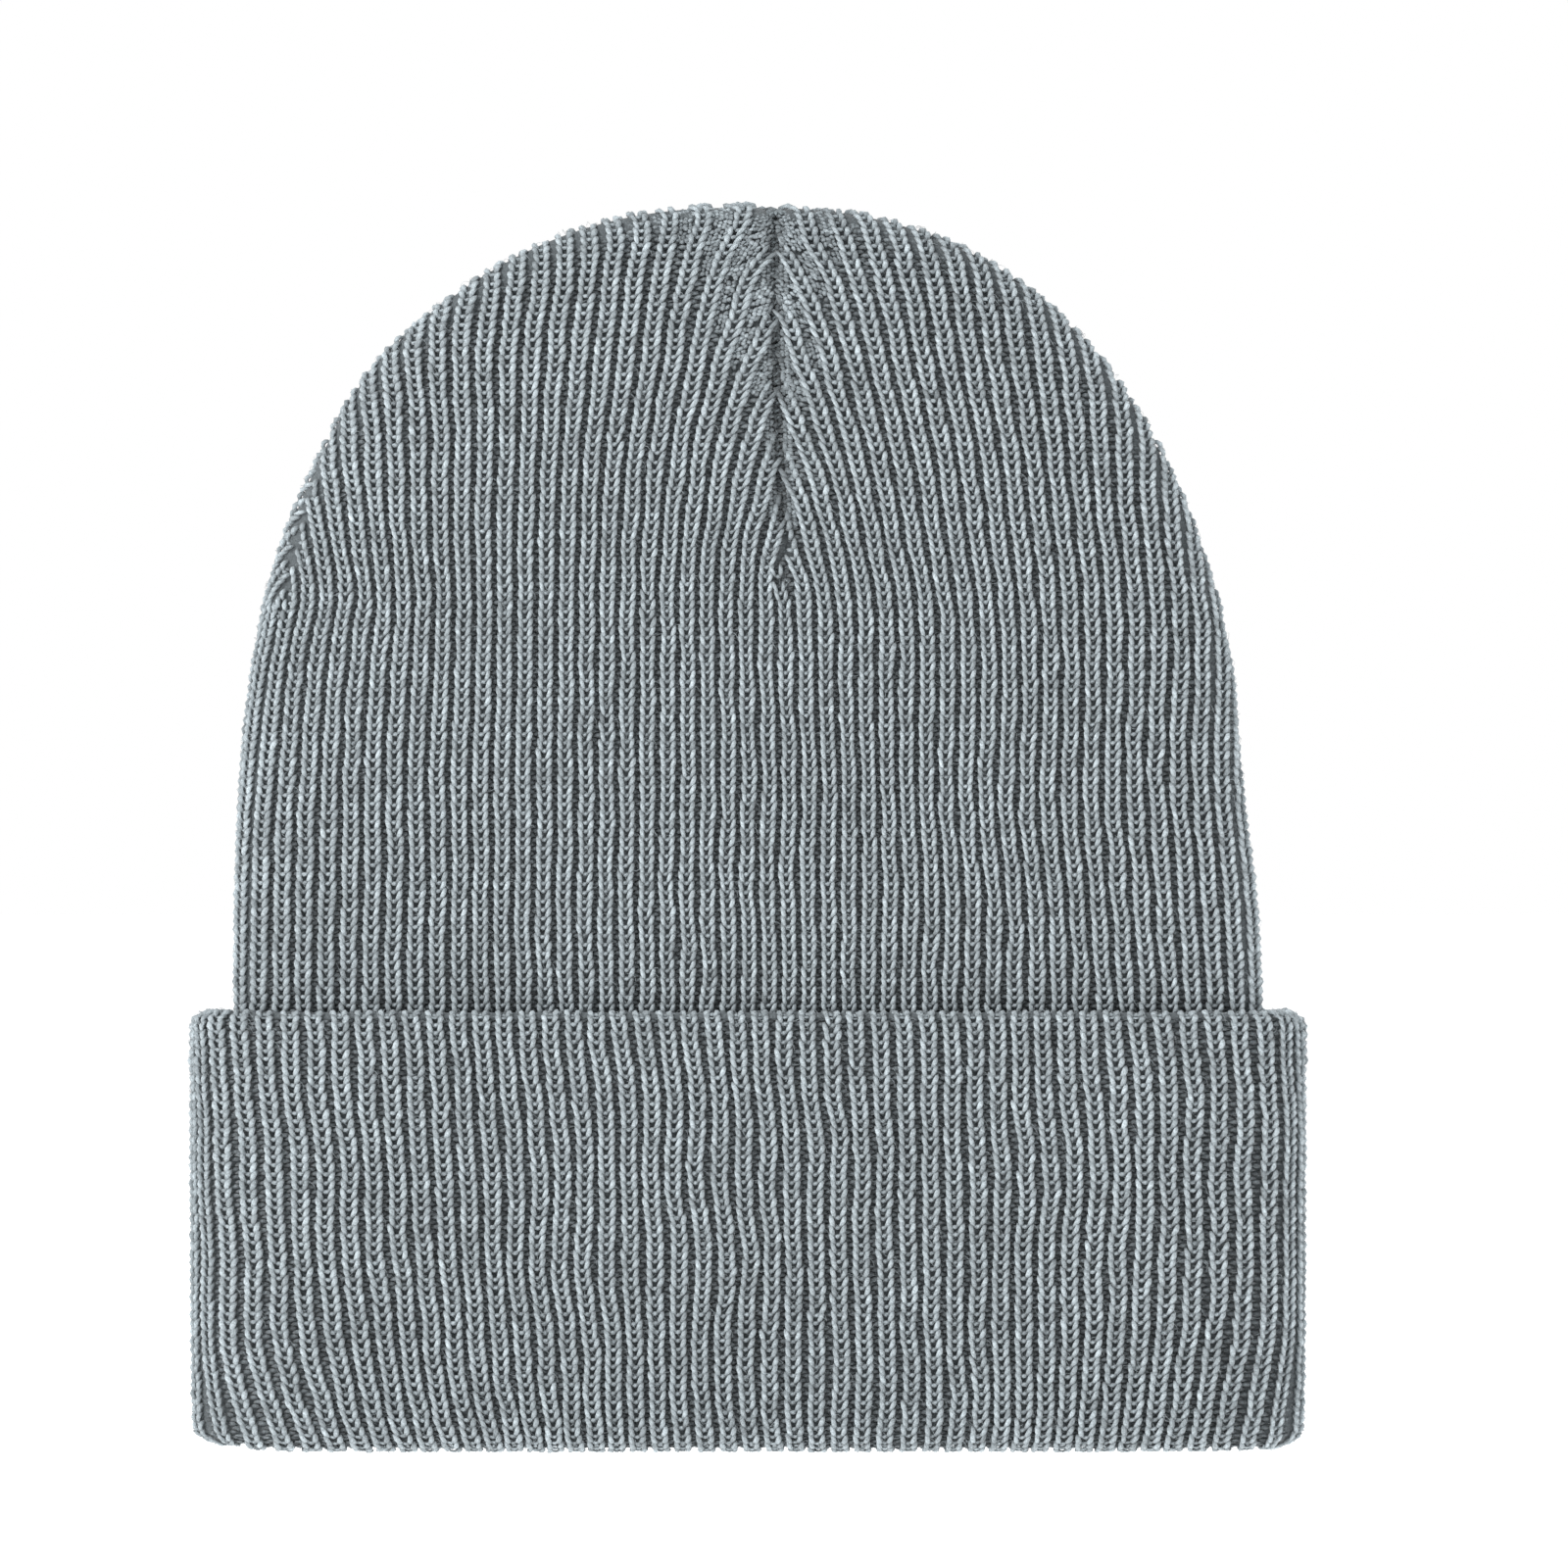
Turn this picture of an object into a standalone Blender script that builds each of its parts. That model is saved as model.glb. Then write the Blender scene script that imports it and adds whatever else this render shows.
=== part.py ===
"""A cuffed rib-knit beanie, laid flat and stood on its fold.

Frame: +Z runs from the fold up to the crown, the front faces -Y, +X is the front's right.
The origin is the middle of the flat bottom of the fold. All lengths are in metres.

One layer of knit runs down inside the cuff, round the fold at the bottom and up again as the
cuff, so the cuff rolls down like a belt round a pulley: when the fold drops by some length,
the free edge drops by twice that length.
"""

import math

import bmesh
import bpy
from mathutils import Matrix, Vector

# Driving dimensions.
CUFF_WIDTH = 0.200
CUFF_HEIGHT = 0.080
BODY_WIDTH = 0.1848
TOTAL_HEIGHT = 0.2248
KNIT = 0.0032  # one layer of rib knit
BODY_DEPTH = 0.0150  # front to back over the two layers of the laid-flat body
GAP = 0.0003  # clear space between neighbouring pieces

# The crown's outline is a superellipse that starts where the sides stop being straight.
CROWN_SPRING = 0.085
CROWN_POWER = 2.4
OUTLINE_STEPS = 36
SIDE_ROUNDING = 0.030  # how far in from the outline the front and back go on bulging
ROUNDING_STEPS = 6

# The four darts that draw the crown in.
DART_BASE = 0.153
APEX_X = 0.005
SEAM_THICKNESS = 0.0006
SEAM_ALLOWANCE = 0.0014  # how far the sewn edges stand up inside the crown
SEAM_RECESS = 0.00025  # how far the stitching lies below the outer surface
TACK_RADIUS = 0.0027
TACK_HALF_HEIGHT = 0.0020

# The turn-up.
CUFF_LOOSENESS = 0.0005  # between the inner layer and the cuff, front and back
BOTTOM_CORNER = 0.009
TOP_CORNER = 0.0035
FOLD_ROUNDING = 0.0020
FOLD_HEIGHT = 0.005
ROLL_TOP = 0.030  # the stretch of knit below this height rolls round the fold
EDGE_HEIGHT = 0.0038
EDGE_ROUNDING = 0.0012
INNER_FLARE = 0.0016  # the inner layer is a little wider low down, where the cuff holds it

HALF_BODY = BODY_WIDTH / 2
HALF_BODY_DEPTH = BODY_DEPTH / 2
HALF_CUFF = CUFF_WIDTH / 2
CUFF_INNER_DEPTH = HALF_BODY_DEPTH + CUFF_LOOSENESS
HALF_CUFF_DEPTH = CUFF_INNER_DEPTH + KNIT
SEAM_SLOT = SEAM_THICKNESS / 2 + GAP

# Straight run and rounded ends of one horizontal loop round the flat hat.
FLAT_STEPS = 3
END_STEPS = 7

YARN = (0.262, 0.300, 0.318, 1.0)
THREAD = (0.190, 0.222, 0.238, 1.0)
SMOOTH_ANGLE = math.radians(35)


def clear_scene():
    for old in list(bpy.data.objects):
        bpy.data.objects.remove(old, do_unlink=True)


def fabric_material(name, colour, roughness):
    material = bpy.data.materials.new(name)
    material.use_nodes = True
    shader = material.node_tree.nodes["Principled BSDF"]
    shader.inputs["Base Color"].default_value = colour
    shader.inputs["Roughness"].default_value = roughness
    shader.inputs["Metallic"].default_value = 0.0
    return material


def add_object(name, mesh, material):
    """A node of the hat, smooth over its curves and crisp at its edges."""
    piece = bpy.data.objects.new(name, mesh)
    bpy.context.collection.objects.link(piece)
    mesh.materials.clear()
    mesh.materials.append(material)
    mesh.shade_smooth()
    mesh.set_sharp_from_angle(angle=SMOOTH_ANGLE)
    return piece


def mesh_from(shape, name):
    bmesh.ops.recalc_face_normals(shape, faces=shape.faces)
    mesh = bpy.data.meshes.new(name)
    shape.to_mesh(mesh)
    shape.free()
    return mesh


# Horizontal loops round the flat hat, and the rings lofted through them.


def loop_points(height, half_width, half_depth):
    """One loop: flat front and back, joined by quarter ellipses at both sides."""
    rounding = min(SIDE_ROUNDING, half_width)
    straight = half_width - rounding
    quarter = []
    for step in range(END_STEPS + 1):
        angle = math.pi / 2 * step / END_STEPS
        quarter.append((straight + rounding * math.cos(angle), half_depth * math.sin(angle)))
    for step in range(1, FLAT_STEPS):
        quarter.append((straight * (1 - step / FLAT_STEPS), half_depth))
    middle = [(0.0, half_depth)]
    right_back = quarter
    left_back = [(-x, y) for x, y in reversed(quarter)]
    back = right_back + middle + left_back
    front = [(x, -y) for x, y in reversed(back[1:-1])]
    return [Vector((x, y, height)) for x, y in back + front]


def ring_mesh(name, outer_levels, inner_levels):
    """A closed band. Levels are (height, half width, half depth), both lists bottom to top."""
    shape = bmesh.new()
    loops = []
    for level in list(outer_levels) + list(reversed(inner_levels)):
        loops.append([shape.verts.new(point) for point in loop_points(*level)])
    for lower, upper in zip(loops, loops[1:] + loops[:1]):
        count = len(lower)
        for i in range(count):
            j = (i + 1) % count
            shape.faces.new((lower[i], lower[j], upper[j], upper[i]))
    return mesh_from(shape, name)


def rounded(distance, radius):
    """How far a rounded corner pulls in at this distance from its end, 0 beyond its radius."""
    left = max(0.0, radius - distance)
    return radius - math.sqrt(radius * radius - left * left)


def cuff_half_width(height):
    bottom = rounded(height, BOTTOM_CORNER)
    top = rounded(CUFF_HEIGHT - height, TOP_CORNER)
    return HALF_CUFF - bottom - top


def inner_half_width(height):
    """Half width of the layer under the cuff, which flares a little towards the fold."""
    share = (CUFF_HEIGHT - height) / (CUFF_HEIGHT - ROLL_TOP)
    return HALF_BODY + INNER_FLARE * min(1.0, max(0.0, share))


# Pieces of the turn-up.


def cuff_fold_mesh():
    """The bottom turn, with a flat strip under it for the hat to stand on."""
    inner_depth = HALF_BODY_DEPTH - KNIT
    side_width = cuff_half_width(FOLD_HEIGHT) - inner_half_width(FOLD_HEIGHT) + KNIT
    strip_width = HALF_CUFF_DEPTH - inner_depth - 2 * FOLD_ROUNDING
    heights = [share * FOLD_ROUNDING for share in (0.0, 0.1, 0.35, 0.65, 1.0)] + [FOLD_HEIGHT]
    outer = []
    inner = []
    for height in heights:
        pull = rounded(height, FOLD_ROUNDING)
        half_width = cuff_half_width(height)
        width = side_width - (side_width - strip_width) * pull / FOLD_ROUNDING
        outer.append((height, half_width, HALF_CUFF_DEPTH - pull))
        inner.append((height, half_width - width, inner_depth + pull))
    return ring_mesh("cuff_fold", outer, inner)


def cuff_levels(heights, half_depth, inset):
    return [(height, cuff_half_width(height) - inset, half_depth) for height in heights]


def cuff_wall_mesh(name, low, high, steps):
    """A plain stretch of the cuff's outer layer between two heights."""
    heights = [low + (high - low) * step / steps for step in range(steps + 1)]
    outer = cuff_levels(heights, HALF_CUFF_DEPTH, 0.0)
    inner = cuff_levels(heights, CUFF_INNER_DEPTH, KNIT)
    return ring_mesh(name, outer, inner)


def cuff_edge_mesh():
    """The cast-on edge that finishes the cuff, rounded over at its top."""
    base = CUFF_HEIGHT - EDGE_HEIGHT
    outer = []
    inner = []
    for share in (0.0, 0.45, 0.7, 0.88, 1.0):
        height = base + EDGE_HEIGHT * share
        pull = rounded(CUFF_HEIGHT - height, EDGE_ROUNDING)
        half_width = cuff_half_width(height)
        outer.append((height, half_width, HALF_CUFF_DEPTH - pull))
        inner.append((height, half_width - KNIT + pull, CUFF_INNER_DEPTH + pull))
    return ring_mesh("cuff_edge", outer, inner)


def inner_wall_mesh(name, low, high, steps):
    """A stretch of the layer that the cuff hides."""
    heights = [low + (high - low) * step / steps for step in range(steps + 1)]
    outer = [(height, inner_half_width(height), HALF_BODY_DEPTH) for height in heights]
    inner = [(height, width - KNIT, depth - KNIT) for height, width, depth in outer]
    return ring_mesh(name, outer, inner)


# The body and crown: a flat plate with a rounded rim, hollowed to one layer of knit.


def outline(inset, low):
    """Points up the left side, over the crown and down the right, moved inwards by inset."""
    crown_height = TOTAL_HEIGHT - CROWN_SPRING
    exponent = 2 / CROWN_POWER
    points = []
    for step in range(OUTLINE_STEPS + 1):
        angle = math.pi * step / OUTLINE_STEPS
        across = -math.copysign(abs(math.cos(angle)) ** exponent, math.cos(angle))
        up = abs(math.sin(angle)) ** exponent
        x = HALF_BODY * across
        z = CROWN_SPRING + crown_height * up
        normal_x = math.copysign(abs(across) ** (CROWN_POWER - 1), across) / HALF_BODY
        normal_z = up ** (CROWN_POWER - 1) / crown_height
        normal = Vector((normal_x, 0.0, normal_z)).normalized()
        points.append(Vector((x, 0.0, z)) - normal * inset)
    side = HALF_BODY - inset
    return [Vector((-side, 0.0, low))] + points + [Vector((side, 0.0, low))]


def plate_rows(shape, inset, depth, rounding, low):
    """Rows of vertices from the back's flat middle, over the rim, to the front's flat middle."""
    rows = []
    for step in range(-ROUNDING_STEPS, ROUNDING_STEPS + 1):
        angle = math.pi / 2 * step / ROUNDING_STEPS
        inward = inset + rounding * (1 - math.cos(angle))
        row = []
        for point in outline(inward, low):
            row.append(shape.verts.new((point.x, -depth * math.sin(angle), point.z)))
        rows.append(row)
    return rows


def skin_rows(shape, rows):
    for first, second in zip(rows, rows[1:]):
        for i in range(len(first) - 1):
            shape.faces.new((first[i], first[i + 1], second[i + 1], second[i]))
    shape.faces.new(rows[0])
    shape.faces.new(rows[-1])


def shell_mesh(low):
    """The knit from this height to the crown, open at the bottom."""
    shape = bmesh.new()
    outer = plate_rows(shape, 0.0, HALF_BODY_DEPTH, SIDE_ROUNDING, low)
    inner = plate_rows(shape, KNIT, HALF_BODY_DEPTH - KNIT, SIDE_ROUNDING - KNIT, low)
    skin_rows(shape, outer)
    skin_rows(shape, inner)
    outer_foot = [row[0] for row in outer] + [row[-1] for row in reversed(outer)]
    inner_foot = [row[0] for row in inner] + [row[-1] for row in reversed(inner)]
    count = len(outer_foot)
    for i in range(count):
        j = (i + 1) % count
        shape.faces.new((outer_foot[i], outer_foot[j], inner_foot[j], inner_foot[i]))
    return mesh_from(shape, "shell")


def cutter(name, mesh):
    """A helper solid that shapes its neighbours and is no piece of the hat."""
    helper = bpy.data.objects.new(name, mesh)
    bpy.context.collection.objects.link(helper)
    helper.hide_render = True
    helper.display_type = "WIRE"
    return helper


def prism_cutter(name, outline_xz, front_y, back_y):
    """A prism along Y over a polygon given as (x, z) points."""
    shape = bmesh.new()
    front = [shape.verts.new((x, front_y, z)) for x, z in outline_xz]
    back = [shape.verts.new((x, back_y, z)) for x, z in outline_xz]
    shape.faces.new(front)
    shape.faces.new(back)
    count = len(front)
    for i in range(count):
        j = (i + 1) % count
        shape.faces.new((front[i], front[j], back[j], back[i]))
    return cutter(name, mesh_from(shape, name))


def tack_hole_cutter():
    """Room for the closing tack where the four darts meet."""
    shape = bmesh.new()
    middle = Matrix.Translation((APEX_X, 0.0, TOTAL_HEIGHT))
    bmesh.ops.create_cone(
        shape,
        cap_ends=True,
        segments=24,
        radius1=TACK_RADIUS + GAP,
        radius2=TACK_RADIUS + GAP,
        depth=8 * TACK_HALF_HEIGHT,
        matrix=middle,
    )
    return cutter("tack_hole", mesh_from(shape, "tack_hole"))


def add_boolean(piece, operation, helper):
    step = piece.modifiers.new(helper.name, "BOOLEAN")
    step.operation = operation
    step.solver = "EXACT"
    step.object = helper


def add_body_tube(material):
    reach = CUFF_WIDTH
    low = CUFF_HEIGHT + GAP
    high = DART_BASE - GAP
    corners = [(-reach, low), (reach, low), (reach, high), (-reach, high)]
    zone = prism_cutter("body_zone", corners, -reach, reach)
    piece = add_object("body_tube", shell_mesh(CUFF_HEIGHT - KNIT), material)
    add_boolean(piece, "INTERSECT", zone)


def add_crown_gores(material):
    """Four gores between the front, back and side darts."""
    hole = tack_hole_cutter()
    reach = CUFF_WIDTH
    top = TOTAL_HEIGHT + KNIT
    for face, sign_y in (("front", -1), ("back", 1)):
        for side, sign_x in (("left", -1), ("right", 1)):
            seam_x = APEX_X + sign_x * SEAM_SLOT
            far_x = sign_x * reach
            corners = [(seam_x, DART_BASE), (far_x, DART_BASE), (far_x, top), (seam_x, top)]
            name = f"crown_gore_{face}_{side}"
            zone = prism_cutter(f"{name}_zone", corners, sign_y * SEAM_SLOT, sign_y * reach)
            piece = add_object(name, shell_mesh(CUFF_HEIGHT), material)
            add_boolean(piece, "INTERSECT", zone)
            add_boolean(piece, "DIFFERENCE", hole)


def thin_strip_mesh(name, outer_path, inner_path, across):
    """A flat strip between two paths of points, half of it to either side along across."""
    shape = bmesh.new()
    sides = []
    for sign in (-1, 1):
        shift = across * sign * SEAM_THICKNESS / 2
        outer = [shape.verts.new(point + shift) for point in outer_path]
        inner = [shape.verts.new(point + shift) for point in inner_path]
        sides.append((outer, inner))
    (outer_a, inner_a), (outer_b, inner_b) = sides
    for i in range(len(outer_path) - 1):
        j = i + 1
        shape.faces.new((outer_a[i], outer_a[j], inner_a[j], inner_a[i]))
        shape.faces.new((outer_b[i], outer_b[j], inner_b[j], inner_b[i]))
        shape.faces.new((outer_a[i], outer_a[j], outer_b[j], outer_b[i]))
        shape.faces.new((inner_a[i], inner_a[j], inner_b[j], inner_b[i]))
    for end in (0, -1):
        shape.faces.new((outer_a[end], outer_b[end], inner_b[end], inner_a[end]))
    return mesh_from(shape, name)


def side_seam_edge(inset, sign_x):
    """Points along the outline, moved inwards by inset, from the dart's base to the tack."""
    low = DART_BASE + GAP
    last_x = APEX_X + sign_x * (TACK_RADIUS + 2 * GAP)
    path = outline(inset, 0.0)
    if sign_x > 0:
        path.reverse()
    points = []
    for below, above in zip(path, path[1:]):
        if below.z < low < above.z:
            points.append(below.lerp(above, (low - below.z) / (above.z - below.z)))
        if above.z > low and sign_x * (above.x - last_x) > GAP:
            points.append(above)
    points.append(Vector((last_x, 0.0, TOTAL_HEIGHT - inset)))
    return points


def side_seam_paths(sign_x):
    """Both edges of a side dart's seam, with as many points on each."""
    outer = side_seam_edge(SEAM_RECESS, sign_x)
    inner = side_seam_edge(KNIT + SEAM_ALLOWANCE, sign_x)
    while len(inner) < len(outer):
        inner.insert(1, inner[0].lerp(inner[1], 0.5))
    while len(outer) < len(inner):
        outer.insert(1, outer[0].lerp(outer[1], 0.5))
    return outer, inner


def centre_seam_paths(sign_y):
    """Both edges of the front or back dart's seam, up its face and over the rim."""
    outer = []
    inner = []
    clear_of_tack = TACK_RADIUS + 2 * GAP
    outer_depth = HALF_BODY_DEPTH - SEAM_RECESS
    inner_depth = HALF_BODY_DEPTH - KNIT - SEAM_ALLOWANCE
    outer_rise = SIDE_ROUNDING - SEAM_RECESS
    inner_rise = SIDE_ROUNDING - KNIT - SEAM_ALLOWANCE
    centre_z = TOTAL_HEIGHT - SIDE_ROUNDING
    base = DART_BASE + GAP
    outer.append(Vector((APEX_X, sign_y * outer_depth, base)))
    inner.append(Vector((APEX_X, sign_y * inner_depth, base)))
    steps = 2 * ROUNDING_STEPS
    for step in range(steps + 1):
        angle = math.pi / 2 * step / steps
        outer_y = outer_depth * math.cos(angle)
        if outer_y < clear_of_tack + GAP:
            break
        inner_y = max(inner_depth * math.cos(angle), GAP)
        outer_z = centre_z + outer_rise * math.sin(angle)
        inner_z = centre_z + inner_rise * math.sin(angle)
        outer.append(Vector((APEX_X, sign_y * outer_y, outer_z)))
        inner.append(Vector((APEX_X, sign_y * inner_y, inner_z)))
    return outer, inner


def add_dart_seams(material):
    for side, sign_x in (("left", -1), ("right", 1)):
        outer, inner = side_seam_paths(sign_x)
        name = f"dart_seam_{side}"
        add_object(name, thin_strip_mesh(name, outer, inner, Vector((0, 1, 0))), material)
    for face, sign_y in (("front", -1), ("back", 1)):
        outer, inner = centre_seam_paths(sign_y)
        name = f"dart_seam_{face}"
        add_object(name, thin_strip_mesh(name, outer, inner, Vector((1, 0, 0))), material)


def add_crown_tack(material):
    """The bar of thread that closes the point where the darts meet."""
    shape = bmesh.new()
    place = Matrix.Translation((APEX_X, 0.0, TOTAL_HEIGHT - TACK_HALF_HEIGHT))
    size = Matrix.Diagonal((TACK_RADIUS, TACK_RADIUS, TACK_HALF_HEIGHT, 1.0))
    bmesh.ops.create_uvsphere(shape, u_segments=20, v_segments=10, radius=1.0, matrix=place @ size)
    add_object("crown_tack", mesh_from(shape, "crown_tack"), material)


def add_turn_up(yarn):
    """The fold, the rolling stretch, the band and its edge, and the layer they hide."""
    band_base = ROLL_TOP
    band_top = CUFF_HEIGHT - EDGE_HEIGHT - GAP
    add_object("cuff_fold", cuff_fold_mesh(), yarn)
    roll_low = FOLD_HEIGHT + GAP
    roll_high = ROLL_TOP - GAP
    add_object("cuff_roll", cuff_wall_mesh("cuff_roll", roll_low, roll_high, 4), yarn)
    add_object("cuff_band", cuff_wall_mesh("cuff_band", band_base, band_top, 1), yarn)
    add_object("cuff_edge", cuff_edge_mesh(), yarn)
    add_object("inner_roll", inner_wall_mesh("inner_roll", roll_low, roll_high, 1), yarn)
    add_object("inner_band", inner_wall_mesh("inner_band", ROLL_TOP, CUFF_HEIGHT, 1), yarn)


def build():
    clear_scene()
    yarn = fabric_material("rib_knit", YARN, 0.92)
    thread = fabric_material("seam_thread", THREAD, 0.85)
    add_turn_up(yarn)
    add_body_tube(yarn)
    add_crown_gores(yarn)
    add_dart_seams(thread)
    add_crown_tack(thread)


build()
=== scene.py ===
"""Looks for the knit beanie: a 1 by 1 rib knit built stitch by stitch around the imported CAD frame.

The knit is laid out on an unrolled plane, where a wale (one column of stitches) is a line, and that
plane is then wrapped round the hat's shape. Lengths are in millimetres until a mesh is made.
"""

import math

import bpy
import numpy as np
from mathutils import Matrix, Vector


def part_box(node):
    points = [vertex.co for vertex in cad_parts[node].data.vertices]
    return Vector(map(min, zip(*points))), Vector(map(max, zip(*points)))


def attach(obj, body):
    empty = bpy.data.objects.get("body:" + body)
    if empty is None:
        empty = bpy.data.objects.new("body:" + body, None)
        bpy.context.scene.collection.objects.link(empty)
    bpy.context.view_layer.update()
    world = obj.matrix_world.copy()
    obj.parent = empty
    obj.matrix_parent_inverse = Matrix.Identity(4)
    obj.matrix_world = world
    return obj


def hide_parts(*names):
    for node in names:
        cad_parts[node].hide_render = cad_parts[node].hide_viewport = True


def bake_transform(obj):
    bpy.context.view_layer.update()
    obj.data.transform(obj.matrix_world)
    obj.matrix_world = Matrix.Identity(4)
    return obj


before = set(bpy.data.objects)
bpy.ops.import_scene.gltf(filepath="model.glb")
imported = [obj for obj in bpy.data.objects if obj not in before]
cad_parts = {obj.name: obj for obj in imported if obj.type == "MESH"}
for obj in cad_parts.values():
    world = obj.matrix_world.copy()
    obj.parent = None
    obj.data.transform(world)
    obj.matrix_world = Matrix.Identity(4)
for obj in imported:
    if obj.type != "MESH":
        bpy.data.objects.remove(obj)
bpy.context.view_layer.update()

MM = 0.001
SEED = 11
LAYER = 3.2  # thickness of one layer of knit

# The hat's shape, read from the CAD nodes
BODY_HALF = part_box("body_tube")[1].x / MM
BODY_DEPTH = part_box("body_tube")[1].y / MM
CROWN_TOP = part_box("crown_gore_front_left")[1].z / MM
DART_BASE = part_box("crown_gore_front_left")[0].z / MM
CUFF_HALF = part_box("cuff_band")[1].x / MM
CUFF_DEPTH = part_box("cuff_band")[1].y / MM
CUFF_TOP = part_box("cuff_edge")[1].z / MM
INNER_HALF = BODY_HALF - LAYER
INNER_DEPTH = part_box("inner_band")[1].y / MM - LAYER
APEX_X = (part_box("crown_tack")[0].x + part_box("crown_tack")[1].x) / 2 / MM

# The crown's outline is a superellipse that springs from the straight sides
CROWN_SPRING = 85.0
CROWN_POWER = 2.4
RIM = 30.0  # how far in from a side the flat front starts to round over
# The hat doesn't lie quite even: fuller at the crown's left, slimmer low on the right. For each
# swelling: how far it moves the side to the left, the height of its middle, and its reach
LEFT_SWELLINGS = ((2.1, 170.0, 38.0), (1.6, 196.0, 12.0))
RIGHT_SWELLINGS = ((2.2, 120.0, 21.0), (0.5, 162.0, 20.0))

# The knit
WALES = 49  # knit wales on one face
COURSE = 1.57  # height of one row of stitches
WALE_PITCH = 4.25  # a stitch has its own width where the wales lie this far apart
EDGE_CROWDING = 0.065  # how much closer the body's wales sit in the middle than at the sides
BODY_FLOOR = 28.0  # the body's knit goes on this far down behind the cuff
SHEET_DEPTH = 2.15  # depth of the ground cloth below the surface, whose colour is darkened as painted shade
RIM_SHALLOWER = 1.25  # it lies this much shallower at the outline
SIDE_RISE = 0.9  # how far the purl bumps rise at the side lines, to lie above it
OUTER_WALE = 23.5  # the ribs beyond this one lie on the hat's side, packed close
OPEN_PITCH = 5.2  # wales this far apart show a grain of purl bumps between them
GRAIN_SPACING = 0.86
GRAINS_SHOWN = 0.94  # the rest are gaps between the loops

# Unevenness from stitch to stitch, as standard deviations
UNEVEN_ROW = 0.06
UNEVEN_WIDTH = 0.05
UNEVEN_SIZE = 0.04
UNEVEN_LIFT = 0.08
UNEVEN_SHADE = 0.13
UNEVEN_PURL_SHADE = 0.18

# Painted shade, as shares of the yarn's colour: the ground cloth and the purl bumps are darkened for
# the shade down between the ribs
GROUND_PAINTED_SHADE = 0.36
VALLEY_PAINTED_SHADE = 0.46  # painted shade on the purl bumps down between ribs that lie close
# painted shade on the purl bumps down between the cuff's ribs
CUFF_VALLEY_PAINTED_SHADE = 0.48
# painted shade on the short purl bumps that lie open between spread ribs
GRAIN_PAINTED_SHADE = 0.52

# The darts
DART_TURN = 5.7  # the side darts' seams start this far round from the side lines
DART_TURN_TOP = 190.0
FRONT_DART_START = 163.0
FRONT_SEAM_SHIFT = -0.2
FRONT_SEAM_BEND = 2.8  # the front seam starts this far right of the crown's top
SEAM_GAP = 0.35
DITCH_DEPTH = 1.5  # how far the cloth dips along the front and back seams
DITCH_WIDTH = 1.3
# For each face and side of its dart: height where it starts, width taken per unit of height,
# how far the pull reaches, and the share of it that is felt only close to the seam
DARTS = {
    (-1, -1): (161.0, 0.28, 28.0, 0.36), (-1, 1): (154.0, 0.31, 70.0, 0.22),
    (1, -1): (158.0, 0.30, 40.0, 0.40), (1, 1): (158.0, 0.30, 40.0, 0.40),
}
DART_NEAR_REACH = 5.0
DART_EASE = 6.0  # the take grows from nothing over about this height
# The side darts take their cloth between two heights, at a rate, from wales within a reach
SIDE_DART_LOW = 157.0
SIDE_DART_HIGH = 178.0
SIDE_DART_RATE = 0.26
SIDE_DART_REACH = 12.0
# How the wales draw in below the crown, for each face: share and reach on the left, then the right
DRAW_IN = {-1: (1.3, 36.0, 0.25, 150.0), 1: (0.7, 28.0, 1.75, 50.0)}

# The cuff's wales: the middle ones sit closest, and the last two on each side wrap round its edge
CUFF_FLAT_WALE = 22.5
CUFF_WRAP = 7.3  # cloth taken by the wales beyond it, on each side
CUFF_SPREADING = 0.045
CUFF_SLANT = 0.022  # lean of the left half's wales, per unit of height
CUFF_TURN = 0.05  # lean of the topmost rows, where the free edge turns

# The cuff's free edge, corners and fold
EDGE_RADIUS = 1.6
EDGE_CURL = 125.0  # degrees that the free edge curls over
TOP_CORNER = 3.5
BOTTOM_CORNER = 5.2
CORNER_LIFT = {-1: 1.0, 1: 0.2}  # how far the fold rises at its left and right ends
CORNER_LIFT_REACH = 9.0
FOLD_RADIUS = (CUFF_DEPTH - INNER_DEPTH) / 2
FOLD_LIFT = 0.85  # room under the fold for the yarn's own thickness
FOLD_FLATTENING = 0.45  # the stretched stitches that turn round the fold stand up this much less
FOLD_FILLING = 0.35  # and their crossings lie this much higher
FOLD_REACH = 4.0  # over this length of cloth on each side of its middle
INNER_TOP = 58.0
INNER_KNIT = 33.0  # the inner layer has its stitches this far up from the fold
# Near the bottom the cuff's ribs fan in from both sides: width, and where the fan starts and ends
CORNER_FANS = {-1: (7.0, 25.0, 95.0), 1: (6.4, 5.0, 70.0)}
CORNER_FAN_HEIGHT = 14.0
# For the cuff and the inner layer: a first and a second body, and the start and end of the change
# between them, in metres
CUFF_BLEND = ("fold", "turn_up", (0, 0, 0.002), (0, 0, CUFF_TOP * MM))
INNER_BLEND = ("hat", "fold", (0, 0, 0.040), (0, 0, 0.002))

# Seams, threads and fuzz
THREAD_STEP = 1.3
THREAD_DEPTH = 2.7
TACK_THREADS = 6
FIBRE_RADIUS = 0.032
FIBRE_KINDS = 18
FIBRES = 5000  # on each face of the body, and of the cuff
# painted sheen: the loose fibres are made lighter than the yarn
FIBRE_PAINTED_SHEEN = 1.15
FIBRES_LOW = 95.0  # the body's fibres start this far below the crown

# Colours and surface
YARN_COLOUR = (0.350, 0.394, 0.416)
THREAD_COLOUR = (0.22, 0.255, 0.27)
FIBRE_CONTRAST = 0.38
PATCH_CONTRAST = 0.05

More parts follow.
